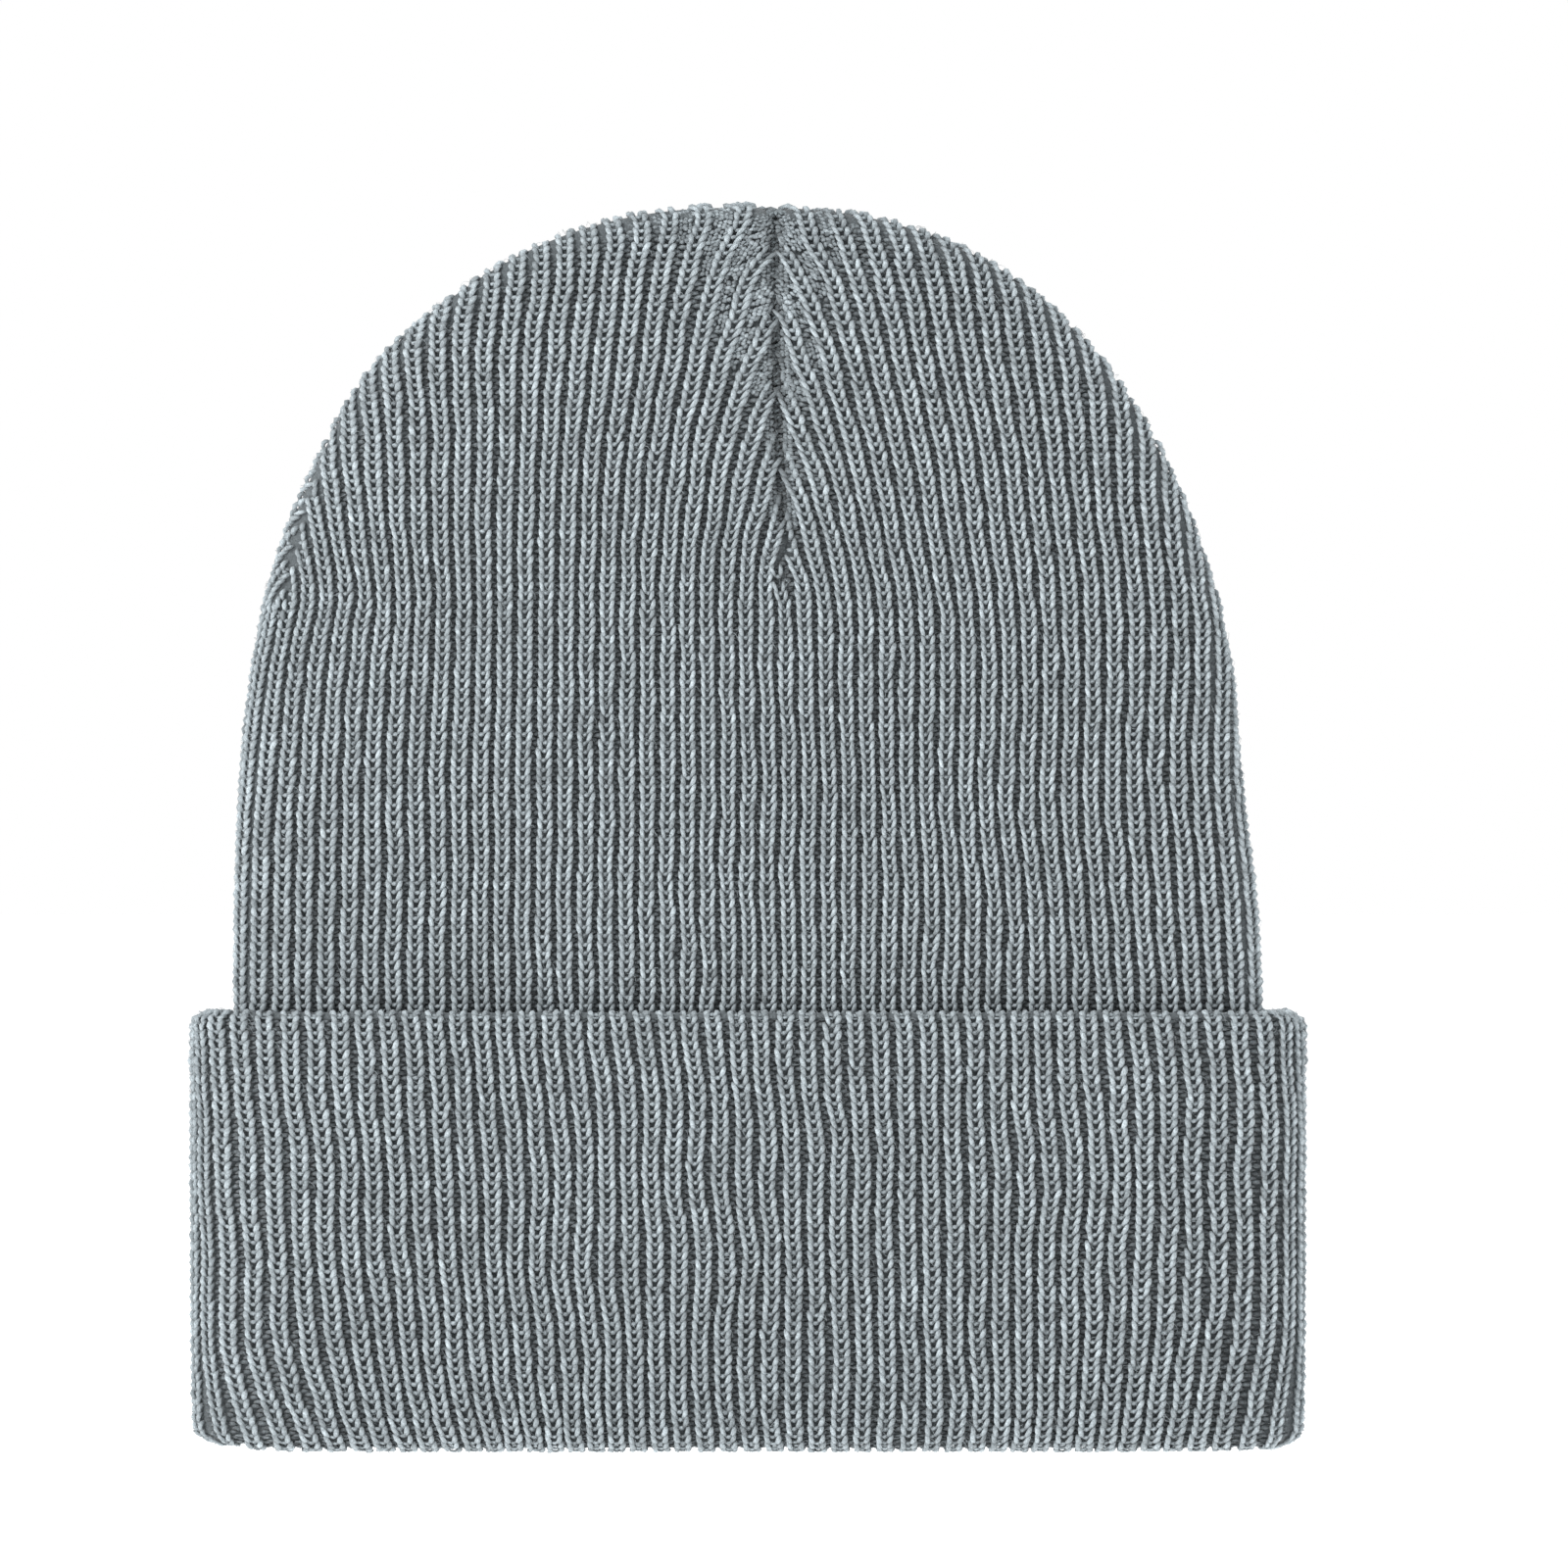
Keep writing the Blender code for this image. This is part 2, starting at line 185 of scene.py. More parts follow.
# The stage, in metres
CAMERA_CENTRE = (0.00645, 0.1202)
FRAME_WIDTH = 0.2812
CAMERA_DISTANCE = 2.4
SENSOR_WIDTH = 36.0
FLOOR_HEIGHT = -0.0215  # under the fold at its lowest
FLOOR_REACH = 12.0
FLOOR_GLOW = 0.60
LIGHT_PLACES = {"key_front": (-1.1, -1.5, 1.2), "fill_back": (1.1, 1.5, 1.2)}
LIGHT_AIM = 0.11  # height on the hat that the lights point at
LIGHT_POWER = 34.0
LIGHT_SIZE = 0.9
SKY_COLOUR = (0.97, 0.985, 1.0, 1)
SKY_STRENGTH = 0.55

random = np.random.default_rng(SEED)


def smoothstep(value, start, end):
    """0 before start, 1 after end, and an even curve between them."""
    t = np.clip((value - start) / (end - start), 0.0, 1.0)
    return t * t * (3 - 2 * t)


def waves(count, wavelengths, seed):
    """A smooth, repeatable wobble over the cloth, as a list of plane waves."""
    draw = np.random.default_rng(seed)
    made = []
    for _ in range(count):
        across, along = wavelengths
        made.append((
            2 * math.pi / across * draw.uniform(0.5, 1.5) * draw.choice([-1, 1]),
            2 * math.pi / along * draw.uniform(0.6, 1.6),
            draw.uniform(0, 2 * math.pi),
        ))
    return made


def wobble(field, across, along):
    """The wobble's value, about -1 to 1, at a place on the cloth."""
    total = 0
    for a, b, phase in field:
        total = total + np.sin(a * across + b * along + phase)
    return total / math.sqrt(len(field))


# ---- the hat's shape

def quarter_ellipse(depth):
    """Arc length and angle along the rounded side, from its outermost line."""
    angle = np.linspace(0, math.pi / 2, 241)
    inward = RIM * (1 - np.cos(angle))
    out = depth * np.sin(angle)
    steps = np.hypot(np.diff(inward), np.diff(out))
    return np.concatenate([[0], np.cumsum(steps)]), angle


BODY_ARC, RIM_ANGLE = quarter_ellipse(BODY_DEPTH)
CUFF_ARC = quarter_ellipse(CUFF_DEPTH)[0]
INNER_ARC = quarter_ellipse(INNER_DEPTH)[0]
BODY_EXTRA = BODY_ARC[-1] - RIM  # the unrolled cloth is this much wider on each side
BODY_UNROLLED = BODY_HALF + BODY_EXTRA
CUFF_UNROLLED = CUFF_HALF - RIM + CUFF_ARC[-1]


def body_half_width(z):
    """Half the hat's width at a height, seen from the front."""
    t = np.clip((z - CROWN_SPRING) / (CROWN_TOP - CROWN_SPRING), 0, 1)
    return BODY_HALF * (1 - t ** CROWN_POWER) ** (1 / CROWN_POWER)


class Outline:
    """Distance in from the hat's outline, and the inward direction, looked up on a grid.

    The grid covers one half of the hat, and WIDE, LOW and HIGH are its limits."""

    STEP = 0.5
    LOW = -12.0
    HIGH = 236.0
    WIDE = 106.0

    def __init__(self):
        self.xs = np.arange(0, self.WIDE, self.STEP)
        self.zs = np.arange(self.LOW, self.HIGH, self.STEP)
        turn = np.linspace(0, math.pi / 2, 160)
        z = CROWN_SPRING + (CROWN_TOP - CROWN_SPRING) * np.sin(turn) ** (2 / CROWN_POWER)
        x = BODY_HALF * np.cos(turn) ** (2 / CROWN_POWER)
        x = np.concatenate([[BODY_HALF], x, [-1.0]])
        z = np.concatenate([[self.LOW - 60], z, [CROWN_TOP]])
        gx, gz = np.meshgrid(self.xs, self.zs)
        nearest = np.full(gx.shape, 1e9)
        for i in range(len(x) - 1):
            ex, ez = x[i + 1] - x[i], z[i + 1] - z[i]
            t = np.clip(((gx - x[i]) * ex + (gz - z[i]) * ez) / (ex * ex + ez * ez), 0, 1)
            nearest = np.minimum(nearest, np.hypot(gx - x[i] - t * ex, gz - z[i] - t * ez))
        inside = (gx < body_half_width(gz)) & (gz < CROWN_TOP)
        self.inward = np.where(inside, nearest, -nearest)
        dz, dx = np.gradient(self.inward, self.STEP)
        size = np.maximum(np.hypot(dx, dz), 1e-6)
        self.dx, self.dz = dx / size, dz / size

    def look(self, x, z):
        """Inward distance and inward direction at points of the unrolled plane."""
        side = np.where(x < 0, -1.0, 1.0)
        fx = np.clip(np.abs(x) / self.STEP, 0, len(self.xs) - 1.001)
        fz = np.clip((z - self.LOW) / self.STEP, 0, len(self.zs) - 1.001)
        ix, iz = fx.astype(int), fz.astype(int)
        tx, tz = fx - ix, fz - iz
        found = []
        for grid in (self.inward, self.dx, self.dz):
            low = grid[iz, ix] * (1 - tx) + grid[iz, ix + 1] * tx
            high = grid[iz + 1, ix] * (1 - tx) + grid[iz + 1, ix + 1] * tx
            found.append(low * (1 - tz) + high * tz)
        return found[0], found[1] * side, found[2]


outline = Outline()


def unrolled_half_width(z):
    """Half the width of the unrolled cloth at each height."""
    found = []
    for height in np.atleast_1d(z):
        inward = outline.look(outline.xs, np.full(len(outline.xs), float(height)))[0]
        inside = inward + BODY_EXTRA
        if inside[0] <= 0:
            found.append(0.0)
            continue
        last = int(np.argmax(inside <= 0))
        share = inside[last - 1] / (inside[last - 1] - inside[last])
        found.append(outline.xs[last - 1] + share * outline.STEP)
    return np.array(found)


WIDTH_HEIGHTS = np.concatenate([np.arange(-10, 215, 2.5), np.arange(215, CROWN_TOP + 2.5, 0.1)])
WIDTH_TABLE = unrolled_half_width(WIDTH_HEIGHTS)


def swelling(z, swellings):
    """How far a side is moved at a height."""
    return sum(width * np.exp(-((z - middle) / reach) ** 2) for width, middle, reach in swellings)


def lopsided(x, z):
    """How far the laid-flat hat's unevenness moves a place to the right."""
    left = swelling(z, LEFT_SWELLINGS) * smoothstep(-x, 10, 70)
    return -left - swelling(z, RIGHT_SWELLINGS) * smoothstep(x, 10, 80)


def side_rise(distance):
    """How far the purl bumps rise along the side lines, where the ground cloth lies shallow."""
    return SIDE_RISE * (1 - smoothstep(np.abs(distance), 1.5, 4.5))


def ground_depth(distance):
    """How deep the ground cloth lies: shallower where the cloth rounds over at the outline."""
    return SHEET_DEPTH - RIM_SHALLOWER * (1 - smoothstep(np.abs(distance), 1.5, 9.0))


def body_surface(across, up, face):
    """Places points of the unrolled cloth on the body or crown. face is -1 in front, 1 behind."""
    inward, nx, nz = outline.look(across, up)
    distance = inward + BODY_EXTRA
    far = np.abs(distance)
    angle = np.interp(far, BODY_ARC, RIM_ANGLE)
    projected = np.where(
        far < BODY_ARC[-1], RIM * (1 - np.cos(angle)), RIM + far - BODY_ARC[-1]
    )
    side = face * np.where(distance < 0, -1.0, 1.0)
    depth = BODY_DEPTH * np.sin(angle) * side
    shift = projected - inward
    x, z = across + nx * shift, up + nz * shift
    place = np.stack([x + lopsided(x, z), depth, z], -1)
    out = BODY_DEPTH * np.cos(angle)
    flat = RIM * np.sin(angle)
    size = np.hypot(out, flat)
    out, flat = out / size, flat / size * side
    return place, np.stack([-nx * out, flat, -nz * out], -1), distance


# ---- where the wales run

# Each wobble's waves: how many, their wavelengths across and along the cloth, and a seed
BODY_WOBBLE = waves(7, (70, 38), 3)
FINE_WOBBLE = waves(6, (11, 16), 4)
CUFF_WOBBLE = waves(7, (60, 34), 5)
CUFF_FINE_WOBBLE = waves(7, (12, 14), 6)


def wale_share(wale):
    """A wale's place on its face, -1 to 1, crowded a little towards the middle."""
    u = 2 * wale / WALES
    c = 1 - EDGE_CROWDING
    inside = c * u + EDGE_CROWDING * u ** 3
    beyond = np.sign(u) * (1 + (np.abs(u) - 1) * (c + 3 * EDGE_CROWDING))
    return np.where(np.abs(u) <= 1, inside, beyond)


def dart_x(z, face):
    """Where the front or back dart's seam runs."""
    rise = np.clip((z - DART_BASE) / (CROWN_TOP - DART_BASE), 0, 1)
    if face < 0:
        return APEX_X + FRONT_SEAM_SHIFT + FRONT_SEAM_BEND * (1 - rise) ** 2.6
    return -DART_TURN + (APEX_X + DART_TURN) * rise ** 1.5


def straight_wale(wale, up, face):
    """Where a wale would run without the darts, drawing in with the hat's sides up to the crown."""
    base = wale_share(wale) * BODY_UNROLLED
    narrower = BODY_UNROLLED - np.interp(np.minimum(up, DART_BASE), WIDTH_HEIGHTS, WIDTH_TABLE)
    left_share, left_reach, right_share, right_reach = DRAW_IN[face]
    from_left = np.maximum(BODY_UNROLLED + base, 0)
    from_right = np.maximum(BODY_UNROLLED - base, 0)
    left = left_share * np.exp(-from_left / left_reach)
    right = right_share * np.exp(-from_right / right_reach)
    return base + narrower * (left - right)


def dart_side(wale, face):
    """-1 for wales left of the front or back dart, 1 for wales right of it."""
    height = np.full_like(np.asarray(wale, float), FRONT_DART_START)
    return np.where(straight_wale(wale, height, face) < dart_x(height, face), -1.0, 1.0)


def pull_to_side_darts(across, up, face):
    """The side darts draw the nearest wales towards them, as they take their cloth in."""
    taken = SIDE_DART_RATE * (np.clip(up, SIDE_DART_LOW, SIDE_DART_HIGH) - SIDE_DART_LOW)
    taken = taken * (1 - 0.5 * smoothstep(up, 182, 224))
    half = np.interp(up, WIDTH_HEIGHTS, WIDTH_TABLE)
    offset = -face * side_dart_offset(up)
    from_left = np.maximum(half + across - offset, 0)
    from_right = np.maximum(half - across + offset, 0)
    right_share = 0.3 if face < 0 else 1.0
    right = right_share * np.exp(-from_right / SIDE_DART_REACH)
    return taken * (right - np.exp(-from_left / SIDE_DART_REACH))


def drawn_to_seam(distance, up, dart):
    """How far from the seam cloth lies that would lie at this distance without the dart."""
    start, rate, reach, near_share = dart
    rise = up - start
    take = rate * (np.sqrt(rise * rise + DART_EASE ** 2) + rise) / 2
    take = take * smoothstep(up, start - 12, start + 8)
    left_over = np.maximum(distance - take, 0)
    sewn_in = np.minimum(distance - take, 0)
    pull = (1 - near_share) * np.exp(-left_over / reach)
    pull = pull + near_share * np.exp(-left_over / DART_NEAR_REACH)
    stretch = (1 - near_share) / reach + near_share / DART_NEAR_REACH
    return distance - take * pull + take * stretch * sewn_in


def body_wale(wale, up, face):
    """Where a wale of the body runs, and its distance from the front or back dart.

    A distance below 0 is cloth that the dart has sewn away."""
    wale = np.broadcast_to(wale, np.broadcast_shapes(np.shape(wale), np.shape(up)))
    across = straight_wale(wale, up, face)
    across = across + pull_to_side_darts(across, up, face)
    calm = 1 - np.clip(np.abs(2 * wale / WALES), 0, 1) ** 10
    rough = 0.20 * wobble(BODY_WOBBLE, across + 40 * face, up)
    rough = rough + 0.11 * wobble(FINE_WOBBLE, across + 40 * face, up)
    across = across + rough * calm
    side = dart_side(wale, face)
    seam = dart_x(up, face)
    straight = side * (across - seam)
    left = drawn_to_seam(straight, up, DARTS[(face, -1)])
    right = drawn_to_seam(straight, up, DARTS[(face, 1)])
    distance = np.where(side < 0, left, right)
    return seam + side * distance, distance


def side_dart_offset(up):
    """How far round the side darts' seams sit from the hat's side lines."""
    return DART_TURN * np.clip((DART_TURN_TOP - up) / (DART_TURN_TOP - DART_BASE), 0, 1)


# ---- stitch shapes

LEG_SIDES = 5
FINE_SIDES = 4  # for the crossings and bumps, which lie deeper
THREAD_SIDES = 6


def tube(points, radii, sides, shades=None):
    """A closed tube with pointed ends along a short path: corners, shades, faces and their UVs."""
    points = np.array(points, float)
    shades = shades or [1.0] * len(points)
    shade = np.concatenate([[shades[0]], np.repeat(shades[1:-1], sides), [shades[-1]]])
    rings = len(points) - 2
    verts, faces, uvs = [points[0]], [], []
    for i in range(1, rings + 1):
        along = points[i + 1] - points[i - 1]
        along /= np.linalg.norm(along)
        across = np.cross(along, [0, 0, 1])
        across /= np.linalg.norm(across)
        up = np.cross(across, along)
        for j in range(sides):
            angle = 2 * math.pi * j / sides
            ring = math.cos(angle) * across + math.sin(angle) * up
            verts.append(points[i] + radii[i] * ring)
    verts.append(points[-1])
    v = np.arange(rings + 2) / (rings + 1)
    for j in range(sides):
        near, far = 1 + j, 1 + (j + 1) % sides
        u0, u1 = j / sides, (j + 1) / sides
        faces.append((0, far, near))
        uvs.append([((u0 + u1) / 2, 0), (u1, v[1]), (u0, v[1])])
        for i in range(1, rings):
            low, high = (i - 1) * sides, i * sides
            faces.append((low + near, low + far, high + far, high + near))
            uvs.append([(u0, v[i]), (u1, v[i]), (u1, v[i + 1]), (u0, v[i + 1])])
        low = (rings - 1) * sides
        faces.append((low + near, low + far, len(verts) - 1))
        uvs.append([(u0, v[rings]), (u1, v[rings]), ((u0 + u1) / 2, 1)])
    return {
        "verts": np.array(verts), "shade": shade, "sizes": np.array([len(f) for f in faces]),
        "loops": np.concatenate(faces), "uv": np.concatenate(uvs),
    }


def knit_leg(foot, head, bow, low, high):
    """One leg of a knit stitch: from its foot, near the wale's middle, up and out to its head."""
    points, radii, shades = [], [], []
    for t in (0.0, 0.07, 0.28, 0.52, 0.76, 0.94, 1.0):
        arch = math.sin(math.pi * t)
        across = foot + (head - foot) * (1 - (1 - t) ** bow)
        points.append((across, (low + (high - low) * t) * COURSE, -1.15 + 1.0 * arch ** 0.8))
        radii.append(0.23 + 0.27 * arch ** 0.7)
        # painted shade and highlight: darker at the ends where the leg dives in, lighter than the
        # yarn at its raised middle
        shades.append(0.56 + 0.58 * arch ** 1.5)
    return tube(points, radii, LEG_SIDES, shades)


def bridge(times, place, swell, shades=None):
    """A short arched length of yarn; place gives its path, from a share along it and its arch."""
    arches = [math.sin(math.pi * t) for t in times]
    points = [place(t, arch) for t, arch in zip(times, arches)]
    return tube(points, [0.22 + swell * arch ** 0.6 for arch in arches], FINE_SIDES, shades)


def knit_crossing():
    """Where one stitch passes through the next, down between the two legs."""
    def place(t, arch):
        return -0.75 + 1.50 * t, (-0.62 - 0.14 * arch) * COURSE, -1.15 + 0.36 * arch

    # painted shade at the ends where the crossing dives in, a little painted highlight at its middle
    return bridge((0.0, 0.2, 0.5, 0.8, 1.0), place, 0.17, [0.8, 0.9, 1.04, 0.9, 0.8])


def purl_bump(side):
    """One bump of the purl wale between two knit wales, one unit wide."""
    def place(t, arch):
        up = 0.25 * side + 0.16 * side * (t - 0.5)
        return 0.24 * side + 0.66 * (t - 0.5), up * COURSE, -2.0 + 0.45 * arch

    return bridge((0.0, 0.12, 0.5, 0.88, 1.0), place, 0.20)


def purl_grain(slope):
    """One short bump of purl cloth that lies open, where the ribs have spread apart."""
    def place(t, arch):
        return 0.95 * (t - 0.5), slope * (t - 0.5) * COURSE, -2.0 + 0.45 * arch

    # painted shade at the ends where the bump dives in, a little painted highlight at its middle
    return bridge((0.0, 0.2, 0.5, 0.8, 1.0), place, 0.20, [0.8, 0.9, 1.06, 0.9, 0.8])


LEFT_LEG = knit_leg(-0.56, -1.24, 1.8, -0.76, 0.70)
RIGHT_LEG = knit_leg(0.50, 1.37, 1.35, -0.68, 0.66)
LEG_MIDDLE = 0.9  # how far a leg's middle lies from the middle of its wale
CROSSING = knit_crossing()
BUMPS = (purl_bump(-1), purl_bump(1))
GRAINS = [purl_grain(slope) for slope in (-0.55, -0.2, 0.15, 0.5)]


def is_bump(shape):
    """Whether a shape is one of the two purl bumps."""
    return any(shape is bump for bump in BUMPS)


# ---- meshes

class Yarn:
    """Collects placed copies of the stitch shapes and turns them into one mesh."""

    def __init__(self):
        self.parts = []

    def add(self, shape, corners, tone_and_painted_light):
        """corners: copies by corners by 3, in mm. The last argument: one colour factor for each
        copy, random tone with painted shade and painted highlight.
        """
        if len(corners):
            self.parts.append((shape, corners, tone_and_painted_light))

    def build(self, name, material):
        """One object of all the copies; each copy has its own cell in the atlas."""
        copies = sum(len(corners) for _, corners, _ in self.parts)
        columns = math.ceil(math.sqrt(copies / 2.0))
        grid = np.array([columns, math.ceil(copies / columns)])
        arrays = [[] for _ in range(6)]
        base, cell = 0, 0
        for shape, corners, tone_and_painted_light in self.parts:
            count, size = corners.shape[:2]
            offset = base + np.arange(count)[:, None] * size
            index = cell + np.arange(count)
            corner = np.stack([index % columns, index // columns], -1)
            inset = 0.06 + 0.88 * shape["uv"]
            made = (
                corners.reshape(-1, 3),
                (shape["loops"] + offset).ravel(),
                np.tile(shape["sizes"], count),
                np.tile(shape["uv"], (count, 1)),
                ((corner[:, None, :] + inset) / grid).reshape(-1, 2),
                (tone_and_painted_light[:, None] * shape["shade"]).ravel(),
            )
            for values, new in zip(arrays, made):
                values.append(new)
            base += count * size
            cell += count
        mesh = raw_mesh(name, *(np.concatenate(values) for values in arrays))
        return link(name, mesh, material)


def raw_mesh(name, verts, loops, sizes, uv, atlas, tone_and_painted_light):
    """A mesh from plain arrays, with its yarn UVs, its own atlas, and a colour factor at each corner
    that holds random tone with painted shade and painted highlight.
    """
    mesh = bpy.data.meshes.new(name)
    mesh.vertices.add(len(verts))
    mesh.vertices.foreach_set("co", (verts * MM).astype(np.float32).ravel())
    mesh.loops.add(len(loops))
    mesh.loops.foreach_set("vertex_index", loops.astype(np.int32))
    mesh.polygons.add(len(sizes))
    starts = np.concatenate([[0], np.cumsum(sizes)[:-1]])
    mesh.polygons.foreach_set("loop_start", starts.astype(np.int32))
    mesh.polygons.foreach_set("use_smooth", np.ones(len(sizes), bool))
    mesh.update(calc_edges=True)
    for layer, values in (("YarnUV", uv), ("OFBake", atlas)):
        made = mesh.uv_layers.new(name=layer)
        made.data.foreach_set("uv", values.astype(np.float32).ravel())
    mesh.uv_layers.active = mesh.uv_layers["YarnUV"]
    mesh.uv_layers["YarnUV"].active_render = True
    shade = mesh.attributes.new("tone_and_painted_light", "FLOAT", "POINT")
    shade.data.foreach_set("value", tone_and_painted_light.astype(np.float32))
    mesh.validate()
    return mesh


def link(name, mesh, material):
    """Puts a mesh in the scene with its material."""
    mesh.materials.append(material)
    made = bpy.data.objects.new(name, mesh)
    bpy.context.scene.collection.objects.link(made)
    return made


def sheet(name, points, tone_and_painted_light, material):
    """A smooth ground cloth from a grid of points, rows by columns by 3."""
    rows, columns = points.shape[:2]
    corner = np.arange(rows * columns).reshape(rows, columns)
    loops = np.stack(
        [corner[:-1, :-1], corner[:-1, 1:], corner[1:, 1:], corner[1:, :-1]], -1
    ).reshape(-1)
    sizes = np.full(len(loops) // 4, 4)
    v, u = np.divmod(loops, columns)
    uv = np.stack([u / 6.0, v / 2.0], -1)
    atlas = np.stack([0.01 + 0.98 * u / (columns - 1), 0.01 + 0.98 * v / (rows - 1)], -1)
    mesh = raw_mesh(name, points.reshape(-1, 3), loops, sizes, uv, atlas, tone_and_painted_light.reshape(-1))
    return link(name, mesh, material)


# ---- what a piece rides on

def put_on_hat(piece, slot, *nodes):
    """Fixes a piece to the hat, in place of the CAD nodes that it stands for."""
    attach(piece, "hat")
    if nodes:
        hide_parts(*nodes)


def put_between(piece, blend, *nodes):
    """Bakes a piece of cloth's place into its mesh, in place of the CAD nodes that it stands for."""
    first, second, start, end = blend
    if nodes:
        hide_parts(*nodes)
    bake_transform(piece)
    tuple(start)
    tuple(end)


# ---- materials

def set_inputs(tree, made, inputs):
    """Each input gets a value, or is joined to another node's output."""
    for name, value in inputs.items():
        if isinstance(value, bpy.types.NodeSocket):
            tree.links.new(value, made.inputs[name])
        else:
            made.inputs[name].default_value = value


def add_node(tree, kind, inputs, **settings):
    """A new shader node's outputs."""
    made = tree.nodes.new(kind)
    for name, value in settings.items():
        setattr(made, name, value)
    set_inputs(tree, made, inputs)
    return made.outputs


def add_noise(tree, place, scale, detail, roughness=0.5):
    """A noise's value."""
    inputs = {"Vector": place, "Scale": scale, "Detail": detail, "Roughness": roughness}
    return add_node(tree, "ShaderNodeTexNoise", inputs)["Fac"]


def noise_between(tree, noise, low, high):
    """The noise's middle range, stretched between two values."""
    inputs = {"Value": noise, "From Min": 0.3, "From Max": 0.7, "To Min": low, "To Max": high}
    return add_node(tree, "ShaderNodeMapRange", inputs)["Result"]


def yarn_material(name, colour):
    """Matte two-ply acrylic yarn: twisted plies, fine fibres and a little sheen."""
    material = bpy.data.materials.new(name)
    material.use_nodes = True
    tree = material.node_tree
    place = add_node(tree, "ShaderNodeTexCoord", {})["Object"]
    yarn_uv = add_node(tree, "ShaderNodeUVMap", {}, uv_map="YarnUV")["UV"]
    tone_and_painted_light = add_node(tree, "ShaderNodeAttribute", {}, attribute_name="tone_and_painted_light")["Fac"]
    fibres = add_noise(tree, place, 3000, 3, 0.65)
    patches = add_noise(tree, place, 60, 2)
    plies = add_node(
        tree, "ShaderNodeTexWave",
        {"Vector": yarn_uv, "Scale": 0.55, "Distortion": 0.6, "Detail": 1.0},
        wave_type="BANDS", bands_direction="DIAGONAL",
    )["Fac"]

    light = noise_between(tree, fibres, 1 - FIBRE_CONTRAST, 1 + FIBRE_CONTRAST)
    patch = noise_between(tree, patches, 1 - PATCH_CONTRAST, 1 + PATCH_CONTRAST)
    uneven = add_node(tree, "ShaderNodeMath", {0: light, 1: patch}, operation="MULTIPLY")[0]
    # The colour factor attribute holds random tone with painted shade and painted highlight, and
    # scales the yarn's colour
    shade = add_node(tree, "ShaderNodeMath", {0: uneven, 1: tone_and_painted_light}, operation="MULTIPLY")[0]
    colour_scaling = {0: colour, "Scale": shade}
    colour_with_painted_light = add_node(tree, "ShaderNodeVectorMath", colour_scaling, operation="SCALE")["Vector"]
    relief = {0: plies, 1: 0.6, 2: fibres}
    height = add_node(tree, "ShaderNodeMath", relief, operation="MULTIPLY_ADD")[0]
    bump = {"Strength": 0.7, "Distance": 0.00035, "Height": height}

    set_inputs(tree, tree.nodes["Principled BSDF"], {
        "Base Color": colour_with_painted_light,
        "Normal": add_node(tree, "ShaderNodeBump", bump)["Normal"],
        "Roughness": noise_between(tree, fibres, 0.80, 0.96),
        "Specular IOR Level": 0.25, "Sheen Weight": 0.25, "Sheen Roughness": 0.45,
    })
    return material


YARN = yarn_material("rib_yarn", YARN_COLOUR)
GROUND = yarn_material("rib_ground", YARN_COLOUR)
THREAD = yarn_material("seam_thread", THREAD_COLOUR)


# ---- body and crown

FACES = ((-1, "front"), (1, "back"))
SIDES = ((-1, "left"), (1, "right"))


def strips():
    """One face's wales in four strips, so that no piece's mesh grows too large."""
    return np.split(np.arange(-24.0, 25.0), [12, 24, 36])


def spread(count, amount):
    """Small seeded differences between stitches."""
    return random.normal(0, amount, count)


def body_ditch(distance, side_distance, up):
    """How far the cloth dips along the seams."""
    sewn = smoothstep(up, DART_BASE + 4, DART_BASE + 16)
    ditch = DITCH_DEPTH * np.exp(-(np.maximum(distance, 0) / DITCH_WIDTH) ** 2)
    ditch = ditch * smoothstep(up, FRONT_DART_START - 3, FRONT_DART_START + 14)
    rim = 0.2 * np.exp(-(np.maximum(side_distance, 0) / 1.2) ** 2) * sewn
    return ditch + rim


def side_seam_distance(rim_distance, across, up, face):
    """Distance from the nearer side dart, measured round the cloth; below 0 is sewn away."""
    offset = side_dart_offset(up) * np.where(across < 0, 1.0, -1.0) * -face
    return rim_distance - offset


def body_corners(shape, wale, row, face, width, size, lift, beside):
    """Places copies of a stitch shape on the body or crown."""
    v = shape["verts"]
    up = row[:, None] + v[None, :, 1]
    across, distance = body_wale(wale[:, None], up, face)
    across = across + v[None, :, 0] * width[:, None] + beside
    place, normal, rim = body_surface(across, up, face)
    side = np.where(up > DART_BASE, side_seam_distance(rim, across, up, face), 50.0)
    height = v[None, :, 2] * size[:, None] + lift[:, None] - body_ditch(distance, side, up)
    if is_bump(shape):
        height = height + np.where(up < DART_BASE, side_rise(rim), 0)
    return place + normal * height[:, :, None]


def body_places(wale, row, beside, face, gore=None):
    """Which copies show, and the spacing of the wales and the distance from the seam at each.

    gore is -1 or 1 for the copies on that side of the dart alone."""
    across, distance = body_wale(wale, row, face)
    left, right = body_wale(wale - 0.5, row, face)[0], body_wale(wale + 0.5, row, face)[0]
    pitch = right - left
    distance = distance + beside * dart_side(wale, face)
    rim = body_surface(across + beside, row, face)[2]
    side = np.where(row > DART_BASE, side_seam_distance(rim, across, row, face), 50.0)
    whole = row < FRONT_DART_START - 2
    shown = (whole | (distance > SEAM_GAP)) & (side > SEAM_GAP) & (pitch > 1.0)
    if gore is not None:
        shown &= dart_side(wale, face) == gore
    return shown, pitch, distance


def seam_shade(distance, row):
    """The cloth is shaded where it dives into the front or back seam."""
    deep = smoothstep(row, FRONT_DART_START - 4, FRONT_DART_START + 8)
    deep = deep * (0.72 - 0.17 * smoothstep(row, 194, 206))
    return 1 - deep * np.exp(-(np.maximum(distance, 0) / 1.2) ** 2)


